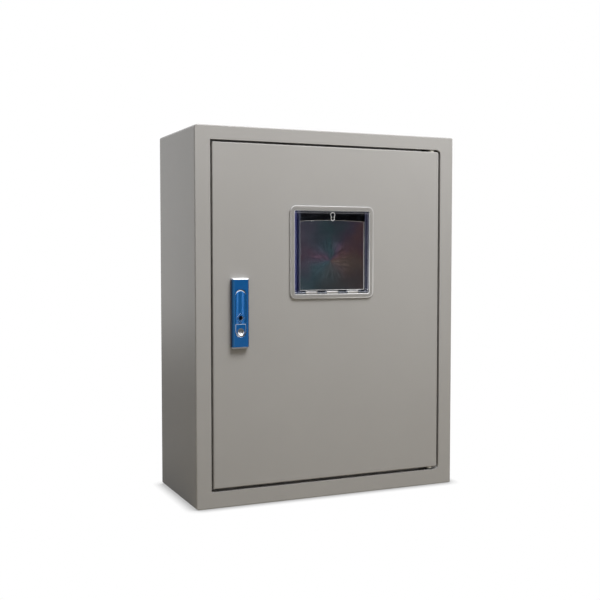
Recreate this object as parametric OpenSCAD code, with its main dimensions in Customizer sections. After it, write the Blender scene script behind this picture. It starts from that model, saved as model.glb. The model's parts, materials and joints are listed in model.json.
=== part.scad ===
// Wall enclosure of folded sheet steel with an inset door, a hinged clear window and a flush push handle.
// Millimetres. X runs right, Z up, and the front faces -Y. The origin is the middle of the four wall
// fixing holes, on the outer face of the back. The door turns on two vertical pins near its right edge.

/* [Cabinet] */
// Width of the cabinet
cab_w = 465; // [420:1:700]
// Height of the cabinet
cab_h = 600; // [520:1:900]
// Depth of the cabinet, back to front face
cab_d = 195; // [150:1:320]
// Thickness of the body sheet
sheet_t = 1.6; // [1.2:0.1:2]
// Radius of the ground corners, seen from the front
corner_r = 4.5; // [3:0.1:8]
// Outer radius of the bend between the sides and the front
bend_r = 2.2; // [2.1:0.1:4]
// Depth of the front frame's outer edge, down to its seam with the walls
front_rim = 4; // [3:0.1:8]
// Width of the front border at the left and right
border_side = 25; // [20:0.5:40]
// Width of the front border at the top
border_top = 22; // [20:0.5:40]
// Width of the front border at the bottom
border_bottom = 26; // [22:0.5:40]
// Depth of the border's inward fold, down to the door stop
return_depth = 15; // [14:0.1:25]
// Depth of the same fold beside the hinge, where the door edge swings inward
hinge_return_depth = 24; // [23:0.1:40]
// Width of the door stop inside the fold
stop_w = 10; // [8:0.5:14]
// Depth of the folded edge round the back panel
back_fold = 15; // [10:0.5:20]

/* [Wall fixing] */
// Distance between the wall holes, left to right
wall_hole_dx = 275; // [200:1:400]
// Distance between the wall holes, bottom to top
wall_hole_dz = 510; // [400:1:560]
// Diameter of the wall holes
wall_hole_d = 10; // [6:0.5:14]

/* [Mounting plate] */
// Width of the mounting plate
plate_w = 405; // [320:1:410]
// Height of the mounting plate
plate_h = 540; // [430:1:560]
// Thickness of the mounting plate
plate_t = 2; // [1.5:0.1:3]
// Depth of the mounting plate's folded long edges
plate_fold = 10; // [6:0.5:15]
// Gap between the back panel and the mounting plate
plate_standoff = 22; // [18:0.5:40]
// Distance from the plate's edges to its stud holes
plate_hole_inset = 17.5; // [15:0.5:25]
// Diameter of the studs that carry the plate
stud_d = 8; // [6:1:10]
// Length of those studs
stud_len = 38; // [37:0.5:60]

/* [Earth studs] */
// Diameter of the earth studs
earth_d = 6; // [5:1:8]
// Length of the earth studs
earth_len = 18; // [15:0.5:25]
// Distance of the body's earth stud from the left side
earth_x = 16; // [14:0.5:18]
// Height of the body's earth stud above the bottom
earth_z = 40; // [34:1:120]
// Distance of the door's earth stud from the door's left edge
door_earth_x = 34; // [30:1:60]
// Height of the door's earth stud above the door's bottom edge
door_earth_z = 40; // [34:1:120]

/* [Door] */
// Gap between the door and the frame at the sides
gap_side = 3.3; // [2.5:0.1:5]
// Gap above the door
gap_top = 3.5; // [3.3:0.1:6]
// Gap below the door
gap_bottom = 5; // [4.8:0.1:8]
// Thickness of the door sheet
door_sheet_t = 1.6; // [1.2:0.1:2]
// Depth of the door's folded edge
door_depth = 12; // [11.5:0.1:13]
// Width of the flange behind that edge, which carries the gasket
door_flange = 12; // [10:0.5:14]
// Corner radius of the door at the latch side
door_latch_r = 2; // [1.7:0.1:4]
// Corner radius of the door at the hinge side
door_hinge_r = 5.5; // [3:0.1:8]
// Outer bend radius of the door's front edges
door_bend_r = 2; // [1.9:0.1:3]
// Width of the foam gasket
gasket_w = 8; // [6:0.5:9]

/* [Hinge] */
// Distance of the hinge pins from the door's right edge
pivot_inset = 12; // [10.5:0.1:13]
// Diameter of the hinge pins
pin_d = 5; // [4:0.5:5]
// Length of the pins inside the door
pin_reach = 13; // [8:0.5:20]
// Wall of the hinge bushes
bush_wall = 1.5; // [1:0.1:1.6]
// Thickness of the flange on each hinge bush
bush_flange_t = 2.4; // [1.5:0.1:2.8]
// Thickness of the plates that hold the pins
bracket_t = 3; // [2:0.5:4]
// Width of the plates that hold the pins
bracket_w = 24; // [16:1:26]

/* [Handle] */
// Distance of the handle's middle from the door's left edge
handle_x = 43.4; // [42:0.1:45]
// Height of the handle's middle above the middle of the cabinet
handle_z = 7.4; // [-100:0.1:60]
// Width of the handle plate
handle_w = 28.6; // [27.5:0.1:34]
// Height of the handle plate
handle_h = 110.8; // [108:0.1:125]
// Height of the handle plate above the door
handle_proud = 8; // [7.4:0.1:8.6]
// Width of the bevel round the handle plate
handle_bevel = 2.4; // [1.5:0.1:2.5]
// Width of the housing behind the plate
housing_w = 24.4; // [23.5:0.1:25]
// Height of the housing behind the plate
housing_h = 98; // [96:0.5:100]
// Depth of the housing behind the door's face
housing_depth = 11; // [10.5:0.1:11.5]
// Depth of the recess below the door's face
recess_depth = 3; // [2.7:0.1:3.5]
// Half width of the recess
recess_r = 9; // [8.8:0.1:9.4]
// Middle of the recess's top arc above the handle's middle
recess_top = 29; // [27:0.1:31]
// Middle of the recess's bottom arc below the handle's middle
recess_bottom = 28.8; // [28:0.1:32]
// Thickness of the coloured skin on the plate and lever
skin_t = 0.4; // [0.3:0.1:0.6]

/* [Lever and button] */
// Distance of the lever's pin above the middle of the top arc
lever_pin_up = 1.5; // [1:0.1:2]
// Diameter of the lever's pin
lever_pin_d = 2.5; // [2:0.1:3]
// Thickness of the lever
lever_t = 6; // [5.6:0.1:6.2]
// Distance of the lever's flat face below the top of the recess
lever_slope = 4.1; // [3.8:0.1:4.4]
// Height of the lever's lower end above the handle's middle
lever_end_z = -16.4; // [-17:0.1:-15.5]
// Radius of the lock cylinder's core
core_r = 3.6; // [3:0.1:3.8]
// Height of the lock cylinder above the handle's middle
core_z = -7.1; // [-8:0.1:-6.5]
// Travel of the button
button_travel = 3; // [2:0.1:3.5]
// Diameter of the button's coil spring
button_spring_d = 6; // [5:0.1:7]

/* [Latch] */
// Diameter of the spindle
spindle_d = 8; // [7:0.1:9]
// Length of the latch arm from the spindle
cam_len = 44; // [42:0.5:46]
// Width of the latch arm
cam_w = 14; // [12:0.5:16]
// Thickness of the latch arm
cam_t = 2.5; // [2:0.1:3]

/* [Window] */
// Outer size of the square window frame
win_size = 150.4; // [120:0.1:170]
// Distance of the window's middle right of the door's middle
win_x = 1.2; // [-20:0.1:20]
// Height of the window's middle above the middle of the cabinet
win_z = 103.1; // [60:0.1:130]
// Width of the window frame's flange
win_flange_w = 7.5; // [6:0.1:10]
// Thickness of the window frame's flange
win_flange_t = 2; // [1.6:0.1:3]
// Outer corner radius of the window frame
win_corner_r = 10; // [8.5:0.1:14]
// Depth of the window frame behind its flange
win_depth = 16; // [12:0.5:20]
// Wall thickness of the window frame
win_wall = 2; // [1.5:0.1:2.5]
// Thickness of the seal under the window frame
win_seal_t = 1; // [0.8:0.1:1.5]
// Width of the seal under the window frame's flange
win_seal_w = 2.4; // [1.8:0.1:3]
// Thickness of the hinged window's rim
flap_t = 2.4; // [2:0.1:3]
// Thickness of the hinged window's pane
pane_t = 1.6; // [1.2:0.1:1.8]
// Width of the hinged window's side rims
pane_side = 9.5; // [8:0.1:14]
// Width of the hinged window's top rim
pane_top = 15; // [14:0.1:20]
// Width of the hinged window's bottom rim
pane_bottom = 6; // [5.5:0.1:10]
// Rise of the arched top edge of the pane
pane_arch = 2; // [1:0.1:3]
// Depth of the skirt behind the hinged window
skirt_depth = 8; // [4:0.5:9]
// Diameter of the hinged window's pin
flap_pin_d = 2; // [1.6:0.1:2.2]
// Radius of the hinged window's barrel
barrel_r = 2; // [1.9:0.1:2.2]
// Width of the lugs that hold the pin
lug_w = 20; // [12:0.5:24]
// Spacing of the lugs that hold the pin
lug_pitch = 37.5; // [30:0.5:40]

/* [Clearances] */
// Gap between pieces that move past each other
move_gap = 0.4; // [0.3:0.05:0.5]
// Radial clearance of pins and shafts that turn
run_gap = 0.05; // [0.02:0.01:0.1]
// Gap that the gasket keeps to the door stop
seal_gap = 0.3; // [0.3:0.05:0.5]

/* [Hidden] */

$fn = 48;
eps = 0.01;

// Colours of the finishes
paint = [0.62, 0.61, 0.58];
zinc = [0.75, 0.76, 0.78];
chrome = [0.82, 0.83, 0.85];
blue = [0.08, 0.35, 0.63];
clear = [0.75, 0.8, 0.85, 0.4];
foam = [0.1, 0.1, 0.11];
nylon = [0.9, 0.9, 0.86];

// The front face of the cabinet and of the door, and the seam behind the front frame
front_y = -cab_d;
seam_y = front_y + max(front_rim, bend_r + 0.5);

// The door opening in the front
open_left = -cab_w / 2 + border_side;
open_right = cab_w / 2 - border_side;
open_bottom = -cab_h / 2 + border_bottom;
open_top = cab_h / 2 - border_top;
open_w = open_right - open_left;
open_h = open_top - open_bottom;
open_z = (open_top + open_bottom) / 2;
stop_y = front_y + return_depth;

// The door leaf
door_left = open_left + gap_side;
door_right = open_right - gap_side;
door_bottom = open_bottom + gap_bottom;
door_top = open_top - gap_top;
door_w = door_right - door_left;
door_h = door_top - door_bottom;
door_x = (door_left + door_right) / 2;
door_z = (door_bottom + door_top) / 2;
door_back = front_y + door_depth;
gasket_t = stop_y - seal_gap - door_back;
door_inner_r = max(door_bend_r - door_sheet_t, 0.2);

// The hinge: its pins stand in the middle of the door's thickness
pivot_x = door_right - pivot_inset;
pivot_y = front_y + door_depth / 2;
pin_r = pin_d / 2;
bush_bore_r = pin_r + run_gap;
bush_r = bush_bore_r + bush_wall;
bush_flange_r = bush_r + 1;
bush_depth = pin_reach + 1;
// Everything of the door within this distance of the pins swings inward past the frame
swing_r = norm([pivot_inset, door_depth / 2]) + 1;
bracket_d = return_depth - 3;
pin_head_r = pin_r + 1.8;
pin_head_t = 2.5;

// The mounting plate
back_y = -sheet_t;
plate_back = back_y - plate_standoff;
plate_front = plate_back - plate_t;
stud_r = stud_d / 2;
plate_hole_x = plate_w / 2 - plate_hole_inset;
plate_hole_z = plate_h / 2 - plate_hole_inset;
nut_t = 0.8 * stud_d;
nut_af = 1.6 * stud_d;
washer_t = 1.6;
washer_r = stud_d;

// The earth studs
earth_r = earth_d / 2;
earth_pos = [-cab_w / 2 + earth_x, -cab_h / 2 + earth_z];
door_earth_pos = [door_left + door_earth_x, door_bottom + door_earth_z];
earth_nut_t = 0.8 * earth_d;
earth_nut_gap = 4;

// The handle, measured from its middle on the door's face
grip_x = door_left + handle_x;
housing_gap = 0.3;
plate_front_y = -handle_proud + skin_t;
core_bevel = handle_bevel - (2 - sqrt(2)) * skin_t;
lever_r = recess_r - move_gap;
lever_top = recess_top - 1.4;
slope_sag = recess_top + recess_r - lever_slope - lever_top;
slope_r = (recess_r * recess_r + slope_sag * slope_sag) / (2 * slope_sag);
slope_z = lever_top + slope_sag - slope_r;
lever_back = -handle_proud + lever_t;
pin_z = recess_top + lever_pin_up;
pin_y = lever_back - 2;
lever_pin_r = lever_pin_d / 2;
lever_pin_half = housing_w / 2 - 0.8;
hollow_depth = 1.2;
hollow_r = (recess_r * recess_r + hollow_depth * hollow_depth) / (2 * hollow_depth);
lock_r = core_r + run_gap + 1.3;
lock_front = -handle_proud + 0.1;
lock_flange_t = 1.8;
lock_back = lever_back + 2.5;
keyway_w = 1.3;
diamond_x = lever_r - 0.7;
diamond_z = core_z - lever_end_z - 1.6;
diamond_rim = 1;
field_depth = 0.6;
field_t = 0.3;
core_front = lock_front + 0.6;
button_top = lever_end_z - move_gap;
button_low = recess_bottom - 2.4;
button_face = -handle_proud + 0.3;
button_back = recess_depth - button_travel - 1;
dish_r = 14;
dish_depth = 2;
dish_z = -button_low - 0.6;
spring_r = button_spring_d / 2;
spring_wire_r = 0.3;
spring_pocket = 3;
spring_z = (button_top - button_low) / 2;
screw_r = 2;
screw_z = housing_h / 2 - 5.5;
screw_len = 6;
screw_head_r = 3.5;
screw_head_t = 2.5;
screw_slot_w = 1;
clamp_t = 2;
clamp_back = housing_depth + clamp_t;
clamp_w = housing_w - 2;
clamp_foot_z = housing_h / 2 + 3;

// The latch, measured from the handle's middle on the door's face
strike_t = 2;
strike_h = 90;
spindle_r = spindle_d / 2;
spindle_head_r = spindle_r + 2.4;
spindle_head_t = 2;
cam_y = return_depth + sheet_t + strike_t + move_gap;
cam_back = cam_y + cam_t;
cam_square = 0.7 * spindle_d;
latch_stud_r = 2.5;
latch_stud_len = 7.5;
latch_washer_t = 1;
latch_nut_t = 4;

// The window, measured from its middle on the door's face
win_mid_x = door_x + win_x;
win_open = win_size - 2 * win_flange_w;
win_open_r = max(win_corner_r - win_flange_w, 1);
throat_r = win_open_r + win_wall;
throat_size = win_open + 2 * win_wall;
flange_back = -win_seal_t;
flange_front = flange_back - win_flange_t;
flap_size = win_open - 2 * move_gap;
flap_corner_r = max(win_open_r - move_gap, 0.6);
flap_front = flange_front + 1;
flap_back = flap_front + flap_t;
barrel_y = (flap_front + flap_back) / 2 + 0.3;
barrel_z = -win_open / 2 + barrel_r + move_gap;
flap_pin_r = flap_pin_d / 2;
lug_reach = norm([barrel_r, barrel_r + move_gap]) + move_gap;
barrel_reach = win_open / 2 - win_open_r;
flange_step = 0.8;
flange_inset = 1.2;
skirt_t = 1.6;
skirt_inset = 1;
pane_w = flap_size - 2 * pane_side;
pane_h = flap_size - pane_top - pane_bottom;
pane_z = (pane_bottom - pane_top) / 2;
arch_r = (pane_w * pane_w / 4 + pane_arch * pane_arch) / (2 * pane_arch);
clip_w = 14;
clip_foot = 6;
clip_t = 1;
clip_rise = 7;
clip_pitch = 70;
catch_t = 1.6;
catch_r = 4.4;
catch_waist_r = 3.8;
catch_len = 6;
catch_z = flap_size / 2 - catch_r - 1.9;
catch_wall = 1.3;

// ---- shared shapes ----

// Extrudes a drawing in X and Z from y0 to y1
module along_y(y0, y1) {
    translate([0, y1, 0]) rotate([90, 0, 0]) linear_extrude(y1 - y0) children();
}

// Extrudes a drawing in Y and Z from x0 to x1
module along_x(x0, x1) {
    translate([x0, 0, 0]) rotate([90, 0, 90]) linear_extrude(x1 - x0) children();
}

// Extrudes a drawing in X and Y from z0 to z1
module along_z(z0, z1) {
    translate([0, 0, z0]) linear_extrude(z1 - z0) children();
}

// Rectangle about the origin, with one radius for its left corners and one for its right corners
module round_rect(w, h, left_r, right_r) {
    union() {
        translate([-w / 2 + left_r, -h / 2]) square([w - left_r - right_r, h]);
        translate([-w / 2, -h / 2 + left_r]) square([left_r + eps, h - 2 * left_r]);
        translate([w / 2 - right_r - eps, -h / 2 + right_r]) square([right_r + eps, h - 2 * right_r]);
        for (s = [-1, 1]) {
            translate([-w / 2 + left_r, s * (h / 2 - left_r)]) circle(left_r);
            translate([w / 2 - right_r, s * (h / 2 - right_r)]) circle(right_r);
        }
    }
}

// Rectangle from the front line to the back line whose two front corners are rounded
module front_round(w, front, back, r) {
    union() {
        translate([-w / 2, front + r]) square([w, back - front - r]);
        translate([-w / 2 + r, front]) square([w - 2 * r, r + eps]);
        for (s = [-1, 1]) translate([s * (w / 2 - r), front + r]) circle(r);
    }
}

// The same outline, drawn for a section in Y and Z
module front_round_side(h, front, back, r) {
    rotate(90) mirror([0, 1]) front_round(h, front, back, r);
}

// Block whose front view has rounded corners and whose four front edges are bent, not sharp
module bent_block(w, h, front, back, left_r, right_r, edge_r) {
    intersection() {
        along_y(front, back) round_rect(w, h, left_r, right_r);
        along_z(-h / 2, h / 2) front_round(w, front, back, edge_r);
        along_x(-w / 2, w / 2) front_round_side(h, front, back, edge_r);
    }
}

// Ring between two rounded rectangles
module rect_ring(outer_w, outer_h, left_r, right_r, wall) {
    difference() {
        round_rect(outer_w, outer_h, left_r, right_r);
        round_rect(outer_w - 2 * wall, outer_h - 2 * wall, max(left_r - wall, 0.2), max(right_r - wall, 0.2));
    }
}

// Slot outline with a round top and a round bottom
module stadium(r, top, bottom) {
    union() {
        translate([-r, bottom]) square([2 * r, top - bottom]);
        translate([0, top]) circle(r);
        translate([0, bottom]) circle(r);
    }
}

// Cylinder along Y at a place in X and Z
module rod_y(x, z, y0, y1, r) {
    translate([x, y1, z]) rotate([90, 0, 0]) cylinder(h = y1 - y0, r = r);
}

// Cylinder along X at a place in Y and Z
module rod_x(y, z, x0, x1, r) {
    translate([x0, y, z]) rotate([0, 90, 0]) cylinder(h = x1 - x0, r = r);
}

// Cylinder along Z on the hinge axis
module rod_pivot(z0, z1, r) {
    translate([pivot_x, pivot_y, z0]) cylinder(h = z1 - z0, r = r);
}

// Hexagon nut along Y
module nut_y(x, z, y0, y1, across_flats, bore_r) {
    difference() {
        translate([x, y1, z]) rotate([90, 0, 0]) cylinder(h = y1 - y0, r = across_flats / sqrt(3), $fn = 6);
        rod_y(x, z, y0 - 1, y1 + 1, bore_r);
    }
}

// Washer along Y
module washer_y(x, z, y0, y1, r, bore_r) {
    difference() {
        rod_y(x, z, y0, y1, r);
        rod_y(x, z, y0 - 1, y1 + 1, bore_r);
    }
}

// Round wire wound into a helix along Y, as one closed tube
module coil_y(coil_r, wire_r, y0, y1, turns) {
    ring_n = 8;
    step_n = 14 * turns;
    points = [
        for (i = [0 : step_n])
            for (k = [0 : ring_n - 1])
                let (turn = 360 * turns * i / step_n)
                let (side = 360 * k / ring_n)
                let (reach = coil_r + wire_r * cos(side))
                    [reach * cos(turn), y0 + (y1 - y0) * i / step_n + wire_r * sin(side), reach * sin(turn)]
    ];
    sides = [
        for (i = [0 : step_n - 1])
            for (k = [0 : ring_n - 1])
                let (a = i * ring_n + k, b = i * ring_n + (k + 1) % ring_n)
                    [a, b, b + ring_n, a + ring_n]
    ];
    first = [for (k = [0 : ring_n - 1]) ring_n - 1 - k];
    last = [for (k = [0 : ring_n - 1]) step_n * ring_n + k];
    polyhedron(points = points, faces = concat(sides, [first, last]), convexity = 8);
}

module on_handle() {
    translate([grip_x, front_y, handle_z]) children();
}

module on_window() {
    translate([win_mid_x, front_y, win_z]) children();
}

// ---- cabinet ----

module opening_2d(grow) {
    translate([0, open_z])
        round_rect(open_w + 2 * grow, open_h + 2 * grow, 0.4 + grow, door_hinge_r + gap_side / 2 + grow);
}

// The stop behind the door's edge, which ends where the hinge side swings inward
module stop_2d() {
    difference() {
        opening_2d(eps);
        translate([0, open_z]) square([open_w - 2 * stop_w, open_h - 2 * stop_w], center = true);
        translate([pivot_x - swing_r, -cab_h / 2]) square([cab_w, cab_h]);
    }
}

// Four walls of the cabinet and its front sheet, before the door's opening is cut
module folded_block() {
    difference() {
        bent_block(cab_w, cab_h, front_y, 0, corner_r, corner_r, bend_r);
        bent_block(
            cab_w - 2 * sheet_t, cab_h - 2 * sheet_t, front_y + sheet_t, 1,
            corner_r - sheet_t, corner_r - sheet_t, bend_r - sheet_t
        );
    }
}

// Walls behind the seam with the front frame
module cabinet_shell() {
    color(paint)
    difference() {
        folded_block();
        translate([-cab_w, seam_y - cab_d, -cab_h]) cube([2 * cab_w, cab_d, 2 * cab_h]);
    }
}

// Front border with its inward fold, the door stop and the deeper fold on the hinge side
module front_frame() {
    color(paint)
    difference() {
        union() {
            difference() {
                folded_block();
                translate([-cab_w, seam_y, -cab_h]) cube([2 * cab_w, cab_d, 2 * cab_h]);
            }
            along_y(front_y + sheet_t / 2, stop_y + sheet_t) opening_2d(sheet_t);
            along_y(front_y + sheet_t / 2, front_y + hinge_return_depth + sheet_t)
                intersection() {
                    opening_2d(sheet_t);
                    translate([open_right - stop_w, -cab_h / 2]) square([cab_w, cab_h]);
                }
        }
        along_y(front_y - 1, stop_y) opening_2d(0);
        along_y(stop_y - eps, front_y + hinge_return_depth + sheet_t + 1)
            difference() {
                opening_2d(0);
                stop_2d();
                translate([open_right - stop_w, -cab_h / 2]) square([cab_w, cab_h]);
            }
        along_y(stop_y - eps, front_y + hinge_return_depth)
            intersection() {
                opening_2d(0);
                translate([pivot_x - swing_r, -cab_h / 2]) square([cab_w, cab_h]);
            }
        rod_pivot(open_top - 1, open_top + sheet_t + 1, pin_r);
        rod_pivot(open_bottom - sheet_t - 1, open_bottom + 1, pin_r);
    }
}

module back_panel() {
    panel_w = cab_w - 2 * sheet_t;
    panel_h = cab_h - 2 * sheet_t;
    r = corner_r - sheet_t;
    color(paint)
    difference() {
        union() {
            along_y(back_y, 0) round_rect(panel_w, panel_h, r, r);
            along_y(-back_fold, back_y + eps) rect_ring(panel_w, panel_h, r, r, sheet_t);
        }
        for (sx = [-1, 1], sz = [-1, 1])
            rod_y(sx * wall_hole_dx / 2, sz * wall_hole_dz / 2, back_y - 1, 1, wall_hole_d / 2);
    }
}

// Repeats its children at the four studs of the mounting plate
module at_plate_studs() {
    for (sx = [-1, 1], sz = [-1, 1]) translate([sx * plate_hole_x, 0, sz * plate_hole_z]) children();
}

module mounting_plate() {
    color(zinc)
    difference() {
        union() {
            along_y(plate_front, plate_back) square([plate_w, plate_h], center = true);
            for (s = [-1, 1])
                translate([s * (plate_w - plate_t) / 2, 0, 0])
                    along_y(plate_back - eps, plate_back + plate_fold)
                        square([plate_t, plate_h], center = true);
        }
        at_plate_studs() rod_y(0, 0, plate_front - 1, plate_back + 1, stud_r + 0.5);
    }
}

module plate_studs() {
    color(zinc) at_plate_studs() rod_y(0, 0, back_y - stud_len, back_y, stud_r);
}

module plate_rear_nuts() {
    color(zinc) at_plate_studs() nut_y(0, 0, plate_back, plate_back + nut_t, nut_af, stud_r);
}

module plate_washers() {
    color(zinc) at_plate_studs() washer_y(0, 0, plate_front - washer_t, plate_front, washer_r, stud_r);
}

module plate_front_nuts() {
    color(zinc) at_plate_studs()
        nut_y(0, 0, plate_front - washer_t - nut_t, plate_front - washer_t, nut_af, stud_r);
}

module earth_stud() {
    color(zinc) rod_y(earth_pos.x, earth_pos.y, back_y - earth_len, back_y, earth_r);
}

module earth_nut() {
    nut_front = back_y - earth_nut_gap - earth_nut_t;
    color(zinc) nut_y(earth_pos.x, earth_pos.y, nut_front, back_y - earth_nut_gap, 1.6 * earth_d, earth_r);
}

// ---- hinge ----

// Plate welded to the outer side of the border's fold, from z0 to z1
module hinge_bracket(z0, z1) {
    difference() {
        translate([pivot_x - bracket_w / 2, front_y + sheet_t, z0])
            cube([bracket_w, bracket_d, z1 - z0]);
        rod_pivot(z0 - 1, z1 + 1, pin_r);
    }
}

module hinge_bracket_upper() {
    z0 = open_top + sheet_t;
    color(zinc) hinge_bracket(z0, z0 + bracket_t);
}

module hinge_bracket_lower() {
    z1 = open_bottom - sheet_t;
    color(zinc) hinge_bracket(z1 - bracket_t, z1);
}

// The upper pin has a head that lies on its bracket
module hinge_pin_upper() {
    z1 = open_top + sheet_t + bracket_t;
    color(zinc) {
        rod_pivot(door_top - pin_reach, z1 + eps, pin_r);
        rod_pivot(z1, z1 + pin_head_t, pin_head_r);
    }
}

module hinge_pin_lower() {
    z0 = open_bottom - sheet_t - bracket_t;
    color(zinc) {
        rod_pivot(z0 - eps, door_bottom + pin_reach, pin_r);
        rod_pivot(z0 - pin_head_t, z0, pin_head_r);
    }
}

// The washer on the lower pin carries the door's weight
module hinge_washer() {
    z1 = door_bottom - bush_flange_t - seal_gap;
    color(zinc)
    difference() {
        rod_pivot(open_bottom, z1, bush_flange_r);
        rod_pivot(open_bottom - 1, z1 + 1, pin_r);
    }
}

// Hardened plate behind the door stop, where the latch arm bears
module strike_plate() {
    color(zinc)
    translate([open_left + stop_w / 2, 0, handle_z + recess_top])
        along_y(stop_y + sheet_t, stop_y + sheet_t + strike_t) round_rect(stop_w, strike_h, 2, 2);
}

// ---- door ----

module door_panel() {
    inner_w = door_w - 2 * door_sheet_t;
    inner_h = door_h - 2 * door_sheet_t;
    flange_w = door_w - 2 * door_flange;
    flange_h = door_h - 2 * door_flange;
    latch_r = max(door_latch_r - door_sheet_t, 0.2);
    hinge_r = max(door_hinge_r - door_sheet_t, 0.2);
    color(paint)
    difference() {
        translate([door_x, 0, door_z])
            bent_block(door_w, door_h, front_y, door_back, door_latch_r, door_hinge_r, door_bend_r);
        translate([door_x, 0, door_z])
            bent_block(
                inner_w, inner_h, front_y + door_sheet_t, door_back - door_sheet_t,
                latch_r, hinge_r, door_inner_r
            );
        translate([door_x, 0, door_z])
            along_y(door_back - door_sheet_t - eps, door_back + 1)
                square([flange_w, flange_h], center = true);
        on_window() along_y(-1, door_sheet_t + 1)
            round_rect(throat_size + 1, throat_size + 1, throat_r + 0.5, throat_r + 0.5);
        on_handle() along_y(-1, door_sheet_t + 1)
            round_rect(housing_w + 2 * housing_gap, housing_h + 2 * housing_gap, 2, 2);
        rod_pivot(door_bottom - 1, door_bottom + 2 * door_sheet_t, bush_r);
        rod_pivot(door_top - 2 * door_sheet_t, door_top + 1, bush_r);
    }
}

module door_gasket() {
    inset = (door_flange - gasket_w) / 2;
    color(foam)
    translate([door_x, 0, door_z])
        along_y(door_back, door_back + gasket_t)
            difference() {
                square([door_w - 2 * inset, door_h - 2 * inset], center = true);
                square([door_w - 2 * inset - 2 * gasket_w, door_h - 2 * inset - 2 * gasket_w], center = true);
            }
}

// Flanged bush: the flange lies outside the door's edge, at the side given by dir
module hinge_bush() {
    translate([pivot_x, pivot_y, 0])
        difference() {
            union() {
                translate([0, 0, -bush_depth]) cylinder(h = bush_depth + eps, r = bush_r);
                cylinder(h = bush_flange_t, r = bush_flange_r);
            }
            translate([0, 0, -bush_depth - 1]) cylinder(h = bush_depth + bush_flange_t + 2, r = bush_bore_r);
        }
}

module hinge_bush_upper() {
    color(nylon) translate([0, 0, door_top]) hinge_bush();
}

module hinge_bush_lower() {
    color(nylon) translate([0, 0, door_bottom]) mirror([0, 0, 1]) hinge_bush();
}

module door_earth_stud() {
    y0 = front_y + door_sheet_t;
    color(zinc) rod_y(door_earth_pos.x, door_earth_pos.y, y0, y0 + earth_len, earth_r);
}

module door_earth_nut() {
    y0 = front_y + door_sheet_t + earth_nut_gap;
    color(zinc) nut_y(door_earth_pos.x, door_earth_pos.y, y0, y0 + earth_nut_t, 1.6 * earth_d, earth_r);
}

// ---- handle ----

// Section of a plate w wide that stands on y = 0 and has bevelled front edges
module bevel_section(w, front, bevel) {
    polygon([
        [-w / 2, 0], [-w / 2, front + bevel], [-w / 2 + bevel, front],
        [w / 2 - bevel, front], [w / 2, front + bevel], [w / 2, 0]
    ]);
}

module handle_housing() {
    core_w = handle_w - 2 * skin_t;
    color(chrome) on_handle()
    difference() {
        union() {
            intersection() {
                along_z(-handle_h / 2, handle_h / 2) bevel_section(core_w, plate_front_y, core_bevel);
                along_x(-core_w / 2, core_w / 2)
                    rotate(90) mirror([0, 1])
                        bevel_section(handle_h, plate_front_y, handle_bevel - skin_t);
                along_y(-handle_proud, 0) round_rect(core_w, handle_h, 1.2, 1.2);
            }
            along_y(-eps, housing_depth) round_rect(housing_w, housing_h, 1.7, 1.7);
        }
        along_y(-handle_proud - 1, recess_depth) stadium(recess_r, recess_top, -recess_bottom);
        rod_x(pin_y, pin_z, -lever_pin_half, lever_pin_half, lever_pin_r);
        rod_y(0, recess_top, recess_depth - 1, recess_depth + spindle_head_t, spindle_head_r + run_gap);
        rod_y(0, recess_top, recess_depth, housing_depth + 1, spindle_r + run_gap);
        for (s = [-1, 1]) rod_y(0, s * screw_z, housing_depth - screw_len, housing_depth + 1, screw_r);
    }
}

// Coloured skin over the front and the long sides of the handle plate
module handle_face() {
    reach = handle_h / 2 - handle_bevel;
    color(blue) on_handle()
    difference() {
        along_z(-reach, reach) bevel_section(handle_w, -handle_proud, handle_bevel);
        along_z(-reach - 1, reach + 1) bevel_section(handle_w - 2 * skin_t, plate_front_y, core_bevel);
        along_y(-handle_proud - 1, 1) stadium(recess_r, recess_top, -recess_bottom);
    }
}

// Bracket that clamps the handle to the back of the door sheet
module handle_clamp() {
    color(zinc) on_handle()
    difference() {
        union() {
            along_y(housing_depth, clamp_back)
                square([clamp_w, 2 * (clamp_foot_z + clamp_t)], center = true);
            for (s = [-1, 1])
                translate([0, 0, s * (clamp_foot_z + clamp_t / 2)])
                    along_y(door_sheet_t, clamp_back) square([clamp_w, clamp_t], center = true);
        }
        rod_y(0, recess_top, housing_depth - 1, clamp_back + 1, spindle_r + move_gap);
        for (s = [-1, 1]) rod_y(0, s * screw_z, housing_depth - 1, clamp_back + 1, screw_r);
    }
}

module handle_screws() {
    color(zinc) on_handle()
    for (s = [-1, 1]) {
        rod_y(0, s * screw_z, housing_depth - screw_len, clamp_back + eps, screw_r);
        difference() {
            rod_y(0, s * screw_z, clamp_back, clamp_back + screw_head_t, screw_head_r);
            translate([0, clamp_back + screw_head_t, s * screw_z])
                cube([screw_slot_w, screw_head_t, 2 * screw_head_r + 1], center = true);
        }
    }
}

module lever_pin() {
    color(zinc) on_handle() rod_x(pin_y, pin_z, -lever_pin_half, lever_pin_half, lever_pin_r);
}

// The lever before it is hollowed: a round head that slopes back, and a flat lower end
module lever_blank() {
    difference() {
        along_y(-handle_proud, lever_back) stadium(lever_r, lever_top, lever_end_z);
        translate([-recess_r, -handle_proud - 1, lever_end_z - 2 * recess_r])
            cube([2 * recess_r, lever_t + 2, 2 * recess_r]);
        difference() {
            translate([-recess_r, -handle_proud - 1, lever_top])
                cube([2 * recess_r, lever_t, 2 * recess_r]);
            translate([0, -handle_proud, slope_z]) rotate([-90, 0, 0])
                cylinder(h = lever_t, r1 = slope_r, r2 = slope_r + lever_t, $fn = 96);
            translate([0, -handle_proud - 2, slope_z]) rotate([-90, 0, 0])
                cylinder(h = 2 + eps, r = slope_r, $fn = 96);
        }
    }
}

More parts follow.
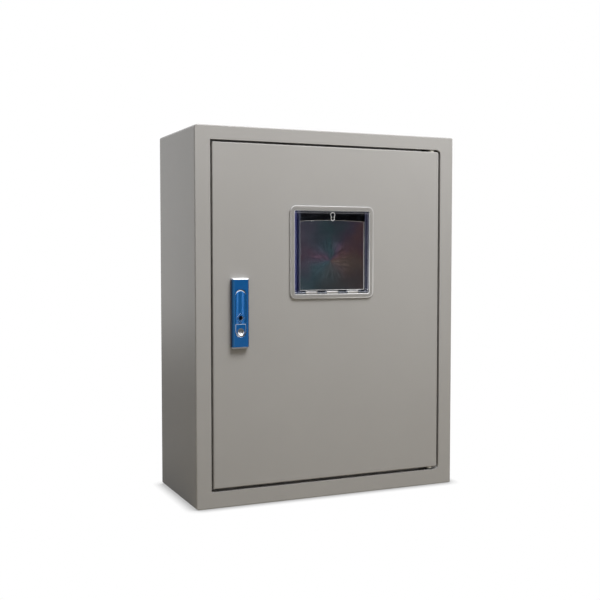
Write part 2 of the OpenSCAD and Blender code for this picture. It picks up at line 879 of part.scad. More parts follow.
// Diamond with its corners kept in by inset, joined to the round boss of the lock
module diamond_2d(inset) {
    k = 1 - inset * norm([1 / diamond_x, 1 / diamond_z]);
    polygon([[0, k * diamond_z], [k * diamond_x, 0], [0, -k * diamond_z], [-k * diamond_x, 0]]);
}

module hollow_rod(r) {
    translate([0, -handle_proud - hollow_r + hollow_depth, lever_end_z - 10])
        cylinder(h = recess_top - lever_end_z + 40, r = r, $fn = 96);
}

module lever() {
    color(chrome) on_handle()
    difference() {
        lever_blank();
        hollow_rod(hollow_r + skin_t);
        translate([0, 0, core_z]) along_y(-handle_proud - 1, lock_front + lock_flange_t) diamond_2d(0);
        rod_y(0, core_z, -handle_proud - 1, lever_back + 1, lock_r);
        rod_x(pin_y, pin_z, -recess_r - 1, recess_r + 1, lever_pin_r + run_gap);
    }
}

// Coloured skin in the hollow of the lever and in the field of the diamond
module lever_face() {
    color(blue) on_handle() {
        difference() {
            intersection() {
                lever_blank();
                hollow_rod(hollow_r + skin_t);
            }
            hollow_rod(hollow_r);
            translate([0, 0, core_z]) along_y(-handle_proud - 1, lever_back) diamond_2d(0);
        }
        translate([0, 0, core_z])
            along_y(lock_front + field_depth - field_t, lock_front + field_depth)
                difference() {
                    diamond_2d(diamond_rim);
                    circle(lock_r);
                }
    }
}

module lock_barrel() {
    color(chrome) on_handle()
    difference() {
        union() {
            translate([0, 0, core_z])
                along_y(lock_front, lock_front + lock_flange_t)
                    difference() {
                        diamond_2d(0);
                        diamond_2d(diamond_rim);
                    }
            translate([0, 0, core_z])
                along_y(lock_front + field_depth, lock_front + lock_flange_t) diamond_2d(0);
            rod_y(0, core_z, lock_front, lock_back, lock_r);
        }
        rod_y(0, core_z, lock_front - 1, lock_back + 1, core_r + run_gap);
    }
}

module lock_core() {
    color(zinc) on_handle()
    difference() {
        rod_y(0, core_z, core_front, lock_back, core_r);
        translate([0, 0, core_z])
            along_y(core_front - 1, lock_back - 1.5) square([keyway_w, 1.5 * core_r], center = true);
    }
}

// Outline of the button: flat at the top, round at the bottom
module button_2d() {
    intersection() {
        stadium(lever_r, button_top, -button_low);
        translate([-recess_r, button_top - 100]) square([2 * recess_r, 100]);
    }
}

module thumb_dish() {
    translate([0, button_face - dish_r + dish_depth, dish_z]) sphere(dish_r, $fn = 64);
}

module push_button() {
    color(chrome) on_handle()
    difference() {
        along_y(button_face + skin_t, button_back) button_2d();
        thumb_dish();
        rod_y(0, spring_z, button_back - spring_pocket, button_back + 1, spring_r + move_gap);
    }
}

// Coloured skin round the thumb dish of the button
module button_skin() {
    color(blue) on_handle()
    difference() {
        along_y(button_face, button_face + skin_t) button_2d();
        thumb_dish();
    }
}

module button_spring() {
    y0 = button_back - spring_pocket + spring_wire_r;
    y1 = recess_depth - spring_wire_r;
    color(zinc) on_handle()
    translate([0, 0, spring_z]) coil_y(spring_r - spring_wire_r, spring_wire_r, y0, y1, 5);
}

// ---- latch ----

module latch_spindle() {
    color(zinc) on_handle()
    union() {
        rod_y(0, recess_top, recess_depth, recess_depth + spindle_head_t, spindle_head_r);
        rod_y(0, recess_top, recess_depth + eps, cam_y, spindle_r);
        translate([0, 0, recess_top])
            along_y(cam_y - eps, cam_back) square([cam_square, cam_square], center = true);
        rod_y(0, recess_top, cam_back - eps, cam_back + latch_stud_len, latch_stud_r);
    }
}

// The latch arm hangs down when the door is free and points at the frame when it is locked
module latch_cam() {
    color(zinc) on_handle()
    translate([0, 0, recess_top])
        along_y(cam_y, cam_back)
            difference() {
                union() {
                    circle(cam_w / 2 + 1);
                    translate([-cam_w / 2, cam_w / 2 - cam_len]) square([cam_w, cam_len - cam_w / 2]);
                    translate([0, cam_w / 2 - cam_len]) circle(cam_w / 2);
                }
                square([cam_square, cam_square], center = true);
            }
}

module latch_washer() {
    color(zinc) on_handle() washer_y(0, recess_top, cam_back, cam_back + latch_washer_t, 5.5, latch_stud_r);
}

module latch_nut() {
    y0 = cam_back + latch_washer_t;
    color(zinc) on_handle() nut_y(0, recess_top, y0, y0 + latch_nut_t, 8, latch_stud_r);
}

// ---- window ----

// Repeats its children at the three lugs of the window's hinge
module at_lugs() {
    for (i = [-1 : 1]) translate([i * lug_pitch, 0, 0]) children();
}

module window_frame() {
    color(clear) on_window()
    difference() {
        union() {
            along_y(flange_front + flange_step, flange_back)
                rect_ring(win_size, win_size, win_corner_r, win_corner_r, win_flange_w);
            along_y(flange_front, flange_front + flange_step + eps)
                rect_ring(
                    win_size - 2 * flange_inset, win_size - 2 * flange_inset,
                    win_corner_r - flange_inset, win_corner_r - flange_inset, win_flange_w - flange_inset
                );
            along_y(flange_back - eps, win_depth)
                rect_ring(throat_size, throat_size, throat_r, throat_r, win_wall);
            at_lugs() {
                rod_x(barrel_y, barrel_z, -lug_w / 2, lug_w / 2, barrel_r);
                translate([-lug_w / 2, barrel_y - barrel_r, -win_open / 2 - eps])
                    cube([lug_w, 2 * barrel_r, barrel_r + move_gap + eps]);
            }
        }
        rod_x(barrel_y, barrel_z, -win_open / 2 + 0.5, win_open / 2 - 0.5, flap_pin_r);
    }
}

module window_seal() {
    color(foam) on_window()
    along_y(flange_back, 0)
        rect_ring(
            throat_size + 2 * (win_seal_w + 0.3), throat_size + 2 * (win_seal_w + 0.3),
            throat_r + win_seal_w + 0.3, throat_r + win_seal_w + 0.3, win_seal_w
        );
}

// Spring clips between the window frame and the back of the door sheet, two on each side
module window_clips() {
    color(zinc) on_window()
    for (side = [0 : 3], s = [-1, 1])
        rotate([0, 90 * side, 0])
            translate([s * clip_pitch / 2 - clip_w / 2, 0, throat_size / 2])
                union() {
                    translate([0, door_sheet_t, 0]) cube([clip_w, clip_rise, clip_t]);
                    translate([0, door_sheet_t, 0]) cube([clip_w, clip_t, clip_foot]);
                }
}

module flap_pin() {
    color(zinc) on_window() rod_x(barrel_y, barrel_z, -win_open / 2 + 1, win_open / 2 - 1, flap_pin_r);
}

// Outline of the pane, whose top edge is slightly arched
module pane_2d() {
    translate([0, pane_z])
        intersection() {
            square([pane_w, pane_h], center = true);
            translate([0, pane_h / 2 - arch_r]) circle(arch_r, $fn = 200);
        }
}

// The skirt runs down both sides and along the top, and stops short of the barrel
module skirt_2d() {
    outer = flap_size - 2 * skirt_inset;
    inner = outer - 2 * skirt_t;
    bottom = barrel_z + 2 * barrel_r;
    difference() {
        square([outer, outer], center = true);
        translate([-inner / 2, -flap_size]) square([inner, flap_size + inner / 2]);
        translate([-flap_size, bottom - flap_size]) square([2 * flap_size, flap_size]);
    }
}

module window_flap() {
    color(clear) on_window()
    difference() {
        union() {
            difference() {
                along_y(flap_front, flap_back) round_rect(flap_size, flap_size, flap_corner_r, flap_corner_r);
                translate([-flap_size, flap_front - 1, barrel_z - flap_size])
                    cube([2 * flap_size, flap_t + 2, flap_size]);
            }
            along_y(flap_back - eps, flap_back + skirt_depth) skirt_2d();
            rod_x(barrel_y, barrel_z, -barrel_reach, barrel_reach, barrel_r);
        }
        along_y(flap_front - 1, flap_back - pane_t) pane_2d();
        at_lugs()
            translate([-lug_w / 2 - move_gap, -20, -win_open])
                cube([lug_w + 2 * move_gap, 40, win_open + barrel_z + lug_reach]);
        for (s = [-1, 1])
            translate([s * (barrel_reach + win_open / 2) - win_open / 2, -20, -win_open])
                cube([win_open, 40, win_open + barrel_z + lug_reach]);
        rod_x(barrel_y, barrel_z, -win_open, win_open, flap_pin_r + run_gap);
    }
}

// Keyhole outline, from a wide head at the top down to a narrower foot
module keyhole_2d(shrink) {
    union() {
        circle(catch_r - shrink);
        translate([0, -catch_len]) circle(catch_waist_r - shrink);
        translate([-catch_waist_r * 0.8 + shrink, -catch_len])
            square([2 * (catch_waist_r * 0.8 - shrink), catch_len]);
    }
}

// Finger loop that opens the hinged window
module flap_catch() {
    color(clear) on_window()
    translate([0, 0, catch_z])
        along_y(flap_front - catch_t, flap_front)
            difference() {
                keyhole_2d(0);
                keyhole_2d(catch_wall);
            }
}

cabinet_shell();
front_frame();
back_panel();
mounting_plate();
plate_studs();
plate_rear_nuts();
plate_washers();
plate_front_nuts();
earth_stud();
earth_nut();
hinge_bracket_upper();
hinge_bracket_lower();
hinge_pin_upper();
hinge_pin_lower();
hinge_washer();
strike_plate();
door_panel();
door_gasket();
hinge_bush_upper();
hinge_bush_lower();
door_earth_stud();
door_earth_nut();
handle_housing();
handle_face();
handle_clamp();
handle_screws();
lever_pin();
lever();
lever_face();
lock_barrel();
lock_core();
push_button();
button_skin();
button_spring();
latch_spindle();
latch_cam();
latch_washer();
latch_nut();
window_frame();
window_seal();
window_clips();
flap_pin();
window_flap();
flap_catch();
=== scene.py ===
"""Dressed model of a sheet-steel wall enclosure with a clear hinged window and a flush push handle."""

import json
import logging
import math
from dataclasses import dataclass
from enum import Enum
from typing import Dict, List, Optional, Sequence, Tuple, Union

import bmesh
import bpy
from mathutils import Matrix, Vector


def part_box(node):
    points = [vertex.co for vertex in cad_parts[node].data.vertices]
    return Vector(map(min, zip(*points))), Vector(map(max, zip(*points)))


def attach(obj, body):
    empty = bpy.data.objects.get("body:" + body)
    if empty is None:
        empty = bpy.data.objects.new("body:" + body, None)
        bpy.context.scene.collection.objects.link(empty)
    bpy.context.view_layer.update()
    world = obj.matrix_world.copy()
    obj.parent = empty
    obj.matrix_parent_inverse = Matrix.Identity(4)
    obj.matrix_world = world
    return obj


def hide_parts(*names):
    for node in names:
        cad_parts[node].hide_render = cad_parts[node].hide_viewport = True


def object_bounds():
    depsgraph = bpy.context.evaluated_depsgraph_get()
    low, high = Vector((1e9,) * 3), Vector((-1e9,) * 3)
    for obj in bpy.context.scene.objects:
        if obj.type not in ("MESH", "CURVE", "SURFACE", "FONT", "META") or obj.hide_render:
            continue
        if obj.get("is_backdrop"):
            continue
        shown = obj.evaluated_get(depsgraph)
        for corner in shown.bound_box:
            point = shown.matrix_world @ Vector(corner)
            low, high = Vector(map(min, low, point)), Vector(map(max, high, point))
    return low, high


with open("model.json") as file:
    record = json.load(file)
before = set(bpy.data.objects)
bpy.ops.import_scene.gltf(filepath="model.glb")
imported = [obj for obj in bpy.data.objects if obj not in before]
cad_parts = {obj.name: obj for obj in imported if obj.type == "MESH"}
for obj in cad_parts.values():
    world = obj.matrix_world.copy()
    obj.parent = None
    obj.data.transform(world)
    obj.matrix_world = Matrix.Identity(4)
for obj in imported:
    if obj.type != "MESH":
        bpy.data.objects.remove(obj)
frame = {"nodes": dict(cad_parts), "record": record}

LOG = logging.getLogger("enclosure")

Colour = Tuple[float, float, float]
Stops = Sequence[Tuple[float, Union[float, Colour]]]
Node = bpy.types.Node
Socket = bpy.types.NodeSocket
Shape = bmesh.types.BMesh
Face = bmesh.types.BMFace
Edge = bmesh.types.BMEdge
Vert = bmesh.types.BMVert

# Numbers of the axes in a vertex's place.
X, Y, Z = 0, 1, 2
# Places closer than this, in metres, count as one: in a mesh made here, and in a carried-over one.
SLACK = 1e-7
CARRIED_SLACK = 1e-6
# Lengths shorter than this, in metres, count as none.
TINY = 1e-4
# Turns a shape that lies flat so that it stands upright and looks along Y.
UPRIGHT = Matrix.Rotation(math.radians(90.0), 3, "X")

PAINT_IOR = 1.45
PLASTIC_IOR = 1.49

FLOAT, COLOUR, VECTOR = "NodeSocketFloat", "NodeSocketColor", "NodeSocketVector"
# Numbers of a Mix node's sockets that hold colours: two inputs and the output.
FIRST_COLOUR, SECOND_COLOUR, MIXED_COLOUR = 6, 7, 2


class Body(Enum):
    """The moving bodies that a piece can ride on."""

    CABINET = "cabinet"
    DOOR = "door"
    LEVER = "lever"
    CORE = "lock_core"
    BUTTON = "button"
    LATCH = "latch"
    FLAP = "flap"


# ---------------------------------------------------------------- node graphs


@dataclass(frozen=True)
class Texture:
    """How a finish varies over a surface.

    Attributes:
        patches: Patches of the slow mottle per metre, roughly.
        grains: Grains of the fine bump per metre, roughly.
        strength: Strength of the bump.
    """

    patches: float
    grains: float
    strength: float


class Graph:
    """A node tree, with short ways to add to it.

    Attributes:
        tree: The node tree.
        shader: Its main shader, where it is a new material's.
    """

    def __init__(self, tree: bpy.types.NodeTree) -> None:
        """Wraps a node tree."""
        self.tree = tree
        self.shader: Optional[Node] = tree.nodes.get("Principled BSDF")

    def feed(self, source: object, target: Socket) -> None:
        """Links a socket to an input, or sets the input where the source is a plain value.

        Args:
            source: The socket or value.
            target: The input.
        """
        if isinstance(source, Socket):
            self.tree.links.new(source, target)
        else:
            target.default_value = source

    def fill(self, node: Node, **values: object) -> Node:
        """Feeds inputs of a node by name.

        Args:
            node: The node.
            **values: A value or socket for each input, by name, with _ for spaces.

        Returns:
            The node.
        """
        for name, value in values.items():
            self.feed(value, node.inputs[name.replace("_", " ")])
        return node

    def add(self, kind: str, **values: object) -> Node:
        """Adds a node and feeds its inputs by name.

        Args:
            kind: The node's type name after "ShaderNode".
            **values: Its inputs by name, with _ for spaces, each a value or a socket, and its
                properties, whose names start with a small letter.

        Returns:
            The new node.
        """
        node = self.tree.nodes.new("ShaderNode" + kind)
        for name in [name for name in values if name[0].islower()]:
            setattr(node, name, values.pop(name))
        return self.fill(node, **values)

    def place(self) -> Socket:
        """Adds the object's own coordinates and returns them."""
        return self.add("TexCoord").outputs["Object"]

    def centred(self, corners: Sequence[Vector]) -> Tuple[Socket, Node]:
        """Adds coordinates that start at the middle of a box.

        Args:
            corners: The box's lowest and highest corner.

        Returns:
            The coordinates and the node that separates them.
        """
        low, high = corners
        moved = self.add("Mapping", vector_type="POINT", Vector=self.place(), Location=(low + high) / -2.0)
        return moved.outputs["Vector"], self.add("SeparateXYZ", Vector=moved.outputs["Vector"])

    def noise(self, place: Socket, scale: object, detail: float, roughness: float = 0.5) -> Socket:
        """Adds noise of the given scale, detail and roughness, and returns it."""
        node = self.add("TexNoise", Vector=place, Scale=scale, Detail=detail, Roughness=roughness)
        return node.outputs["Fac"]

    def calc(self, kind: str, first: Socket, second: object) -> Socket:
        """Adds a step of arithmetic.

        Args:
            kind: The operation.
            first: The first value.
            second: The second, as a number or a socket.

        Returns:
            The result.
        """
        node = self.add("Math", operation=kind)
        self.feed(first, node.inputs[0])
        self.feed(second, node.inputs[1])
        return node.outputs[0]

    def length(self, vector: Socket) -> Socket:
        """Adds the length of a vector.

        Args:
            vector: The vector.

        Returns:
            The length.
        """
        node = self.add("VectorMath", operation="LENGTH")
        self.feed(vector, node.inputs[0])
        return node.outputs["Value"]

    def remap(
        self, value: Socket, low: float, high: float, to_low: float = 0.0, to_high: float = 1.0,
        smooth: bool = False,
    ) -> Socket:
        """Adds a clamped change of range.

        Args:
            value: The value that it reads.
            low: The value that becomes to_low.
            high: The value that becomes to_high.
            to_low: The result at low and beyond.
            to_high: The result at high and beyond.
            smooth: Whether the result eases in and out.

        Returns:
            The result.
        """
        node = self.add(
            "MapRange", interpolation_type="SMOOTHSTEP" if smooth else "LINEAR", Value=value,
            From_Min=low, From_Max=high, To_Min=to_low, To_Max=to_high,
        )
        return node.outputs["Result"]

    def bands(self, place: Socket, stops: Stops, stepped: bool = False) -> Socket:
        """Adds a colour ramp.

        Args:
            place: The value that it reads, from 0 to 1.
            stops: Its positions, each with a colour or a grey value.
            stepped: Whether a colour holds until the next stop.

        Returns:
            The colour.
        """
        node = self.add("ValToRGB", Fac=place)
        node.color_ramp.interpolation = "CONSTANT" if stepped else "LINEAR"
        elements = node.color_ramp.elements
        while len(elements) < len(stops):
            elements.new(0.5)
        for element, (position, colour) in zip(elements, stops):
            element.position = position
            element.color = (*colour, 1.0) if isinstance(colour, tuple) else (colour, colour, colour, 1.0)
        return node.outputs["Color"]

    def mix(self, first: Socket, second: Socket, kind: str = "MIX", share: object = 1.0) -> Socket:
        """Adds a mix of two colours.

        Args:
            first: The first colour.
            second: The second colour.
            kind: How the second joins the first.
            share: How far it does, as a number or a socket.

        Returns:
            The mixed colour.
        """
        node = self.add("Mix", data_type="RGBA", blend_type=kind, Factor=share)
        self.feed(first, node.inputs[FIRST_COLOUR])
        self.feed(second, node.inputs[SECOND_COLOUR])
        return node.outputs[MIXED_COLOUR]

    def mix_shaders(self, share: Socket, first: Node, second: Node) -> Node:
        """Adds a mix of two shaders.

        Args:
            share: The share of the second.
            first: The first shader.
            second: The second shader.

        Returns:
            The mixing node.
        """
        node = self.add("MixShader")
        for source, target in zip((share, first.outputs[0], second.outputs[0]), node.inputs):
            self.feed(source, target)
        return node

    def rays(self, *kinds: str) -> Socket:
        """Adds a mask that tells some kinds of ray from the rest.

        Args:
            *kinds: The kinds.

        Returns:
            The mask, which is 1 for a ray of any of them.
        """
        path = self.add("LightPath")
        mask = path.outputs[f"Is {kinds[0]} Ray"]
        for kind in kinds[1:]:
            mask = self.calc("MAXIMUM", mask, path.outputs[f"Is {kind} Ray"])
        return mask

    def cover(self, colour: Colour, shade: Colour, texture: Texture) -> Socket:
        """Places the shared mottle on the main shader's colour and the shared grain on its normal.

        Args:
            colour: The main colour, linear.
            shade: The colour that it drifts to, linear.
            texture: The sizes of the patches and grains.

        Returns:
            The mottled colour.
        """
        mottle = self.add(
            "Group", node_tree=bpy.data.node_groups["slow_mottle"], Colour=(*colour, 1.0),
            Shade=(*shade, 1.0), Scale=texture.patches,
        )
        grain = self.add(
            "Group", node_tree=bpy.data.node_groups["fine_grain"], Scale=texture.grains,
            Strength=texture.strength,
        )
        self.fill(self.shader, Base_Color=mottle.outputs["Colour"], Normal=grain.outputs["Normal"])
        return mottle.outputs["Colour"]


def node_material(name: str) -> Tuple[bpy.types.Material, Graph]:
    """Makes a node material.

    Args:
        name: Its name.

    Returns:
        The material and its graph.
    """
    material = bpy.data.materials.new(name)
    material.use_nodes = True
    return material, Graph(material.node_tree)


def effect_group(
    name: str, inputs: Sequence[Tuple[str, str, object]], outputs: Sequence[Tuple[str, str]]
) -> Tuple[Graph, Node, Node]:
    """Makes an empty shader effect that several materials share.

    Args:
        name: The effect's name.
        inputs: The name, kind and default of each input socket.
        outputs: The name and kind of each output socket.

    Returns:
        The graph, its input node and its output node.
    """
    tree = bpy.data.node_groups.new(name, "ShaderNodeTree")
    for label, kind, value in inputs:
        tree.interface.new_socket(name=label, in_out="INPUT", socket_type=kind).default_value = value
    for label, kind in outputs:
        tree.interface.new_socket(name=label, in_out="OUTPUT", socket_type=kind)
    return Graph(tree), tree.nodes.new("NodeGroupInput"), tree.nodes.new("NodeGroupOutput")


def make_grain_effect() -> None:
    """Builds the fine surface grain: noise at a given scale, as a normal."""
    graph, start, end = effect_group(
        "fine_grain",
        [("Scale", FLOAT, 900.0), ("Strength", FLOAT, 0.1), ("Depth", FLOAT, 0.0002)],
        [("Normal", VECTOR)],
    )
    height = graph.noise(graph.place(), start.outputs["Scale"], detail=3.0, roughness=0.6)
    strength, depth = start.outputs["Strength"], start.outputs["Depth"]
    bump = graph.add("Bump", Strength=strength, Distance=depth, Height=height)
    graph.fill(end, Normal=bump.outputs["Normal"])


def make_mottle_effect() -> None:
    """Builds the slow drift of a colour over a surface, between two shades of it."""
    graph, start, end = effect_group(
        "slow_mottle",
        [
            ("Colour", COLOUR, (0.5, 0.5, 0.5, 1.0)),
            ("Shade", COLOUR, (0.4, 0.4, 0.4, 1.0)),
            ("Scale", FLOAT, 6.0),
        ],
        [("Colour", COLOUR)],
    )
    noise = graph.noise(graph.place(), start.outputs["Scale"], detail=4.0, roughness=0.55)
    patches = graph.bands(noise, [(0.35, 0.0), (0.65, 1.0)])
    graph.fill(end, Colour=graph.mix(start.outputs["Colour"], start.outputs["Shade"], share=patches))


# ---------------------------------------------------------------- finishes


CLEAR_TEXTURE = Texture(patches=30.0, grains=25.0, strength=0.02)


def dimmed(colour: Colour, share: float) -> Colour:
    """Returns a colour with each part multiplied by the share."""
    return tuple(share * part for part in colour)


@dataclass(frozen=True)
class Finish:
    """Common part of every finish: a name and a way to make its material.

    Attributes:
        name: The material's name.
    """

    name: str

    def make(self) -> bpy.types.Material:
        """Makes the material.

        Returns:
            The material.
        """
        material, graph = node_material(self.name)
        self.dress(graph)
        return material

    def dress(self, graph: Graph) -> None:
        """Gives the main shader its values and what varies over the surface."""
        raise NotImplementedError


@dataclass(frozen=True)
class PowderCoat(Finish):
    """Satin powder coat with a faint orange-peel texture.

    Attributes:
        colour: Main colour, linear.
        shade: Slightly darker colour that it drifts to.
        roughness: Roughness of the coat.
    """

    colour: Colour = (0.405, 0.395, 0.383)
    shade: Colour = (0.392, 0.382, 0.370)
    roughness: float = 0.26

    def dress(self, graph: Graph) -> None:
        """Gives the shader a satin coat."""
        graph.fill(graph.shader, Roughness=self.roughness, IOR=PAINT_IOR)
        graph.cover(self.colour, self.shade, Texture(patches=5.0, grains=420.0, strength=0.12))


@dataclass(frozen=True)
class PlatedSteel(Finish):
    """Zinc-plated or galvanised steel.

    Attributes:
        colour: Main colour, linear.
        shade: Colour of the darker patches.
        roughness: Roughness of the plate.
        patches: Patches per metre.
    """

    colour: Colour = (0.62, 0.63, 0.64)
    shade: Colour = (0.48, 0.49, 0.5)
    roughness: float = 0.32
    patches: float = 90.0

    def dress(self, graph: Graph) -> None:
        """Gives the shader a patchy plate.

        Args:
            graph: The material's graph.
        """
        graph.fill(graph.shader, Metallic=1.0, Roughness=self.roughness)
        graph.cover(self.colour, self.shade, Texture(patches=self.patches, grains=1500.0, strength=0.08))


@dataclass(frozen=True)
class Chrome(Finish):
    """Polished chrome plate with a trace of polishing marks.

    Attributes:
        colour: Reflection colour, linear.
        roughness: Roughness of the polish.
    """

    colour: Colour = (0.82, 0.82, 0.84)
    roughness: float = 0.1

    def dress(self, graph: Graph) -> None:
        """Gives the shader a bright metal.

        Args:
            graph: The material's graph.
        """
        graph.fill(graph.shader, Metallic=1.0, Roughness=self.roughness)
        texture = Texture(patches=60.0, grains=700.0, strength=0.03)
        graph.cover(self.colour, dimmed(self.colour, share=0.92), texture)


@dataclass(frozen=True)
class BlueSkin(Finish):
    """Glossy transparent blue skin over bright metal, lighter at the left and dark at its outer edges.

    Attributes:
        colour: Main blue, linear.
        light: Lighter blue at the left of the face, a painted highlight.
        painted_shade_blue: Dark blue at the outer edges and on the sides, painted shade.
        metal: Share of the light that the metal below sends back as a mirror does.
        painted_light_share: How far the bands of painted highlight and shade across the handle cover the
            mottle.
    """

    colour: Colour = (0.013, 0.168, 0.535)
    light: Colour = (0.045, 0.22, 0.54)
    painted_shade_blue: Colour = (0.006, 0.040, 0.15)
    metal: float = 0.5
    painted_light_share: float = 0.85

    def dress(self, graph: Graph) -> None:
        """Gives the shader a coloured clear coat and bands of painted highlight and painted shade across the
        handle's width.

        Args:
            graph: The material's graph.
        """
        graph.fill(
            graph.shader, Metallic=self.metal, Roughness=0.2, Specular_IOR_Level=0.3, Coat_Weight=0.25,
            Coat_Roughness=0.05,
        )
        low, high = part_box("handle_face")
        half = (high.x - low.x) / 2.0
        _, parts = graph.centred((low, high))
        # Shares of the handle's width from its left edge, each with the blue there: painted shade at both
        # edges, a painted highlight near the left.
        stops = [
            (0.012, self.painted_shade_blue),
            (0.05, self.light),
            (0.11, self.light),
            (0.17, self.colour),
            (0.90, self.colour),
            (0.97, self.painted_shade_blue),
        ]
        bands = graph.bands(graph.remap(parts.outputs["X"], -half, half), stops)
        texture = Texture(patches=70.0, grains=600.0, strength=0.03)
        mottled = graph.cover(self.colour, self.light, texture)
        graph.fill(graph.shader, Base_Color=graph.mix(mottled, bands, share=self.painted_light_share))


@dataclass(frozen=True)
class ClearPlastic(Finish):
    """Clear moulded plastic, more or less milky.

    Attributes:
        tint: Colour of the light that passes, linear.
        roughness: Roughness of the surface.
        clearness: Share of the light that passes.
    """

    tint: Colour = (0.93, 0.95, 0.97)
    roughness: float = 0.03
    clearness: float = 1.0

    def dress(self, graph: Graph) -> None:
        """Gives the shader a clear body.

        Args:
            graph: The material's graph.
        """
        graph.fill(
            graph.shader, Transmission_Weight=self.clearness, Roughness=self.roughness, IOR=PLASTIC_IOR
        )
        graph.cover(self.tint, dimmed(self.tint, share=0.97), CLEAR_TEXTURE)


@dataclass(frozen=True)
class PanePlastic(Finish):
    """Clear pane with the faint coloured rays that moulding leaves round its gate, which it emits as a
    painted glow.

    Attributes:
        tint: Colour of the light that passes, linear.
        shade: Colour that it drifts to.
        painted_glow: Brightness of the painted glow that the pane emits in its tints.
        gate_x: Place of the gate to the left of the window's middle.
        gate_z: Place of the gate below the window's middle.
        wander: How far the tints stray from a fan, in radians.
        tints: Tints round the gate, as shares of a turn that starts at the left.
        ray_turn: Spread of the ray noise per radian round the gate.
        ray_reach: Spread of the ray noise per metre from the gate.
        ray_steps: Brightness of the rays over their noise.
        ray_fade: Distances from the gate at which the rays end and are full.
        ray_strength: Brightness of the full rays.
        ray_floor: Brightness between the rays.
    """

    tint: Colour = (0.93, 0.95, 0.97)
    shade: Colour = (0.9, 0.92, 0.94)
    painted_glow: float = 1.35
    gate_x: float = 0.0038
    gate_z: float = 0.0134
    wander: float = 1.6
    tints: Stops = (
        (0.0, (0.026, 0.021, 0.032)),
        (0.09, (0.014, 0.028, 0.034)),
        (0.25, (0.020, 0.024, 0.026)),
        (0.40, (0.030, 0.023, 0.024)),
        (0.50, (0.038, 0.028, 0.024)),
        (0.58, (0.036, 0.020, 0.022)),
        (0.66, (0.024, 0.018, 0.028)),
        (0.74, (0.012, 0.024, 0.028)),
        (0.80, (0.014, 0.022, 0.028)),
        (0.88, (0.022, 0.020, 0.030)),
        (0.95, (0.032, 0.018, 0.028)),
        (1.0, (0.026, 0.021, 0.032)),
    )
    ray_turn: float = 4.0
    ray_reach: float = 22.0
    ray_steps: Stops = ((0.40, 0.0), (0.5, 0.25), (0.62, 1.0))
    ray_fade: Tuple[float, float] = (0.05, 0.012)
    ray_strength: float = 1.5
    ray_floor: float = 0.85

    def dress(self, graph: Graph) -> None:
        """Gives the shader a clear body with a faint painted glow in its tints.

        Args:
            graph: The material's graph.
        """
        place, parts = graph.centred(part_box("window_flap"))
        x = graph.calc("ADD", parts.outputs["X"], self.gate_x)
        z = graph.calc("ADD", parts.outputs["Z"], self.gate_z)
        angle = graph.calc("ARCTAN2", z, x)
        tints = self.tint_field(graph, place, angle)
        lit = graph.mix(tints, self.ray_field(graph, x, z, angle), kind="MULTIPLY")
        graph.fill(
            graph.shader, Transmission_Weight=1.0, Roughness=0.03, IOR=PLASTIC_IOR,
            Emission_Strength=self.painted_glow, Emission_Color=lit,
        )
        graph.cover(self.tint, self.shade, CLEAR_TEXTURE)

    def tint_field(self, graph: Graph, place: Socket, angle: Socket) -> Socket:
        """Adds the slow change of tint round the gate: teal above and at the lower left, red at the right.

        Args:
            graph: The material's graph.
            place: Coordinates from the window's middle.
            angle: The angle round the gate.

        Returns:
            The tint.
        """
        drift = graph.calc("SUBTRACT", graph.noise(place, scale=28.0, detail=2.0), 0.5)
        bent = graph.calc("ADD", angle, graph.calc("MULTIPLY", drift, self.wander))
        return graph.bands(graph.remap(bent, -math.pi, math.pi), self.tints)

    def ray_field(self, graph: Graph, x: Socket, z: Socket, angle: Socket) -> Socket:
        """Adds the rays round the gate, which bend slightly and fade outwards, as a factor.

        Args:
            graph: The material's graph.
            x: Distance from the gate along X.
            z: Distance from the gate along Z.
            angle: The angle round the gate.

        Returns:
            The factor, about 1 between the rays.
        """
        reach = graph.length(graph.add("CombineXYZ", X=x, Y=z).outputs["Vector"])
        turn = graph.calc("MULTIPLY", angle, self.ray_turn)
        out = graph.calc("MULTIPLY", reach, self.ray_reach)
        around = graph.add("CombineXYZ", X=turn, Y=out).outputs["Vector"]
        rays = graph.bands(graph.noise(around, scale=2.6, detail=2.0), self.ray_steps)
        fade = graph.remap(reach, *self.ray_fade, to_high=self.ray_strength, smooth=True)
        return graph.calc("ADD", graph.calc("MULTIPLY", rays, fade), self.ray_floor)


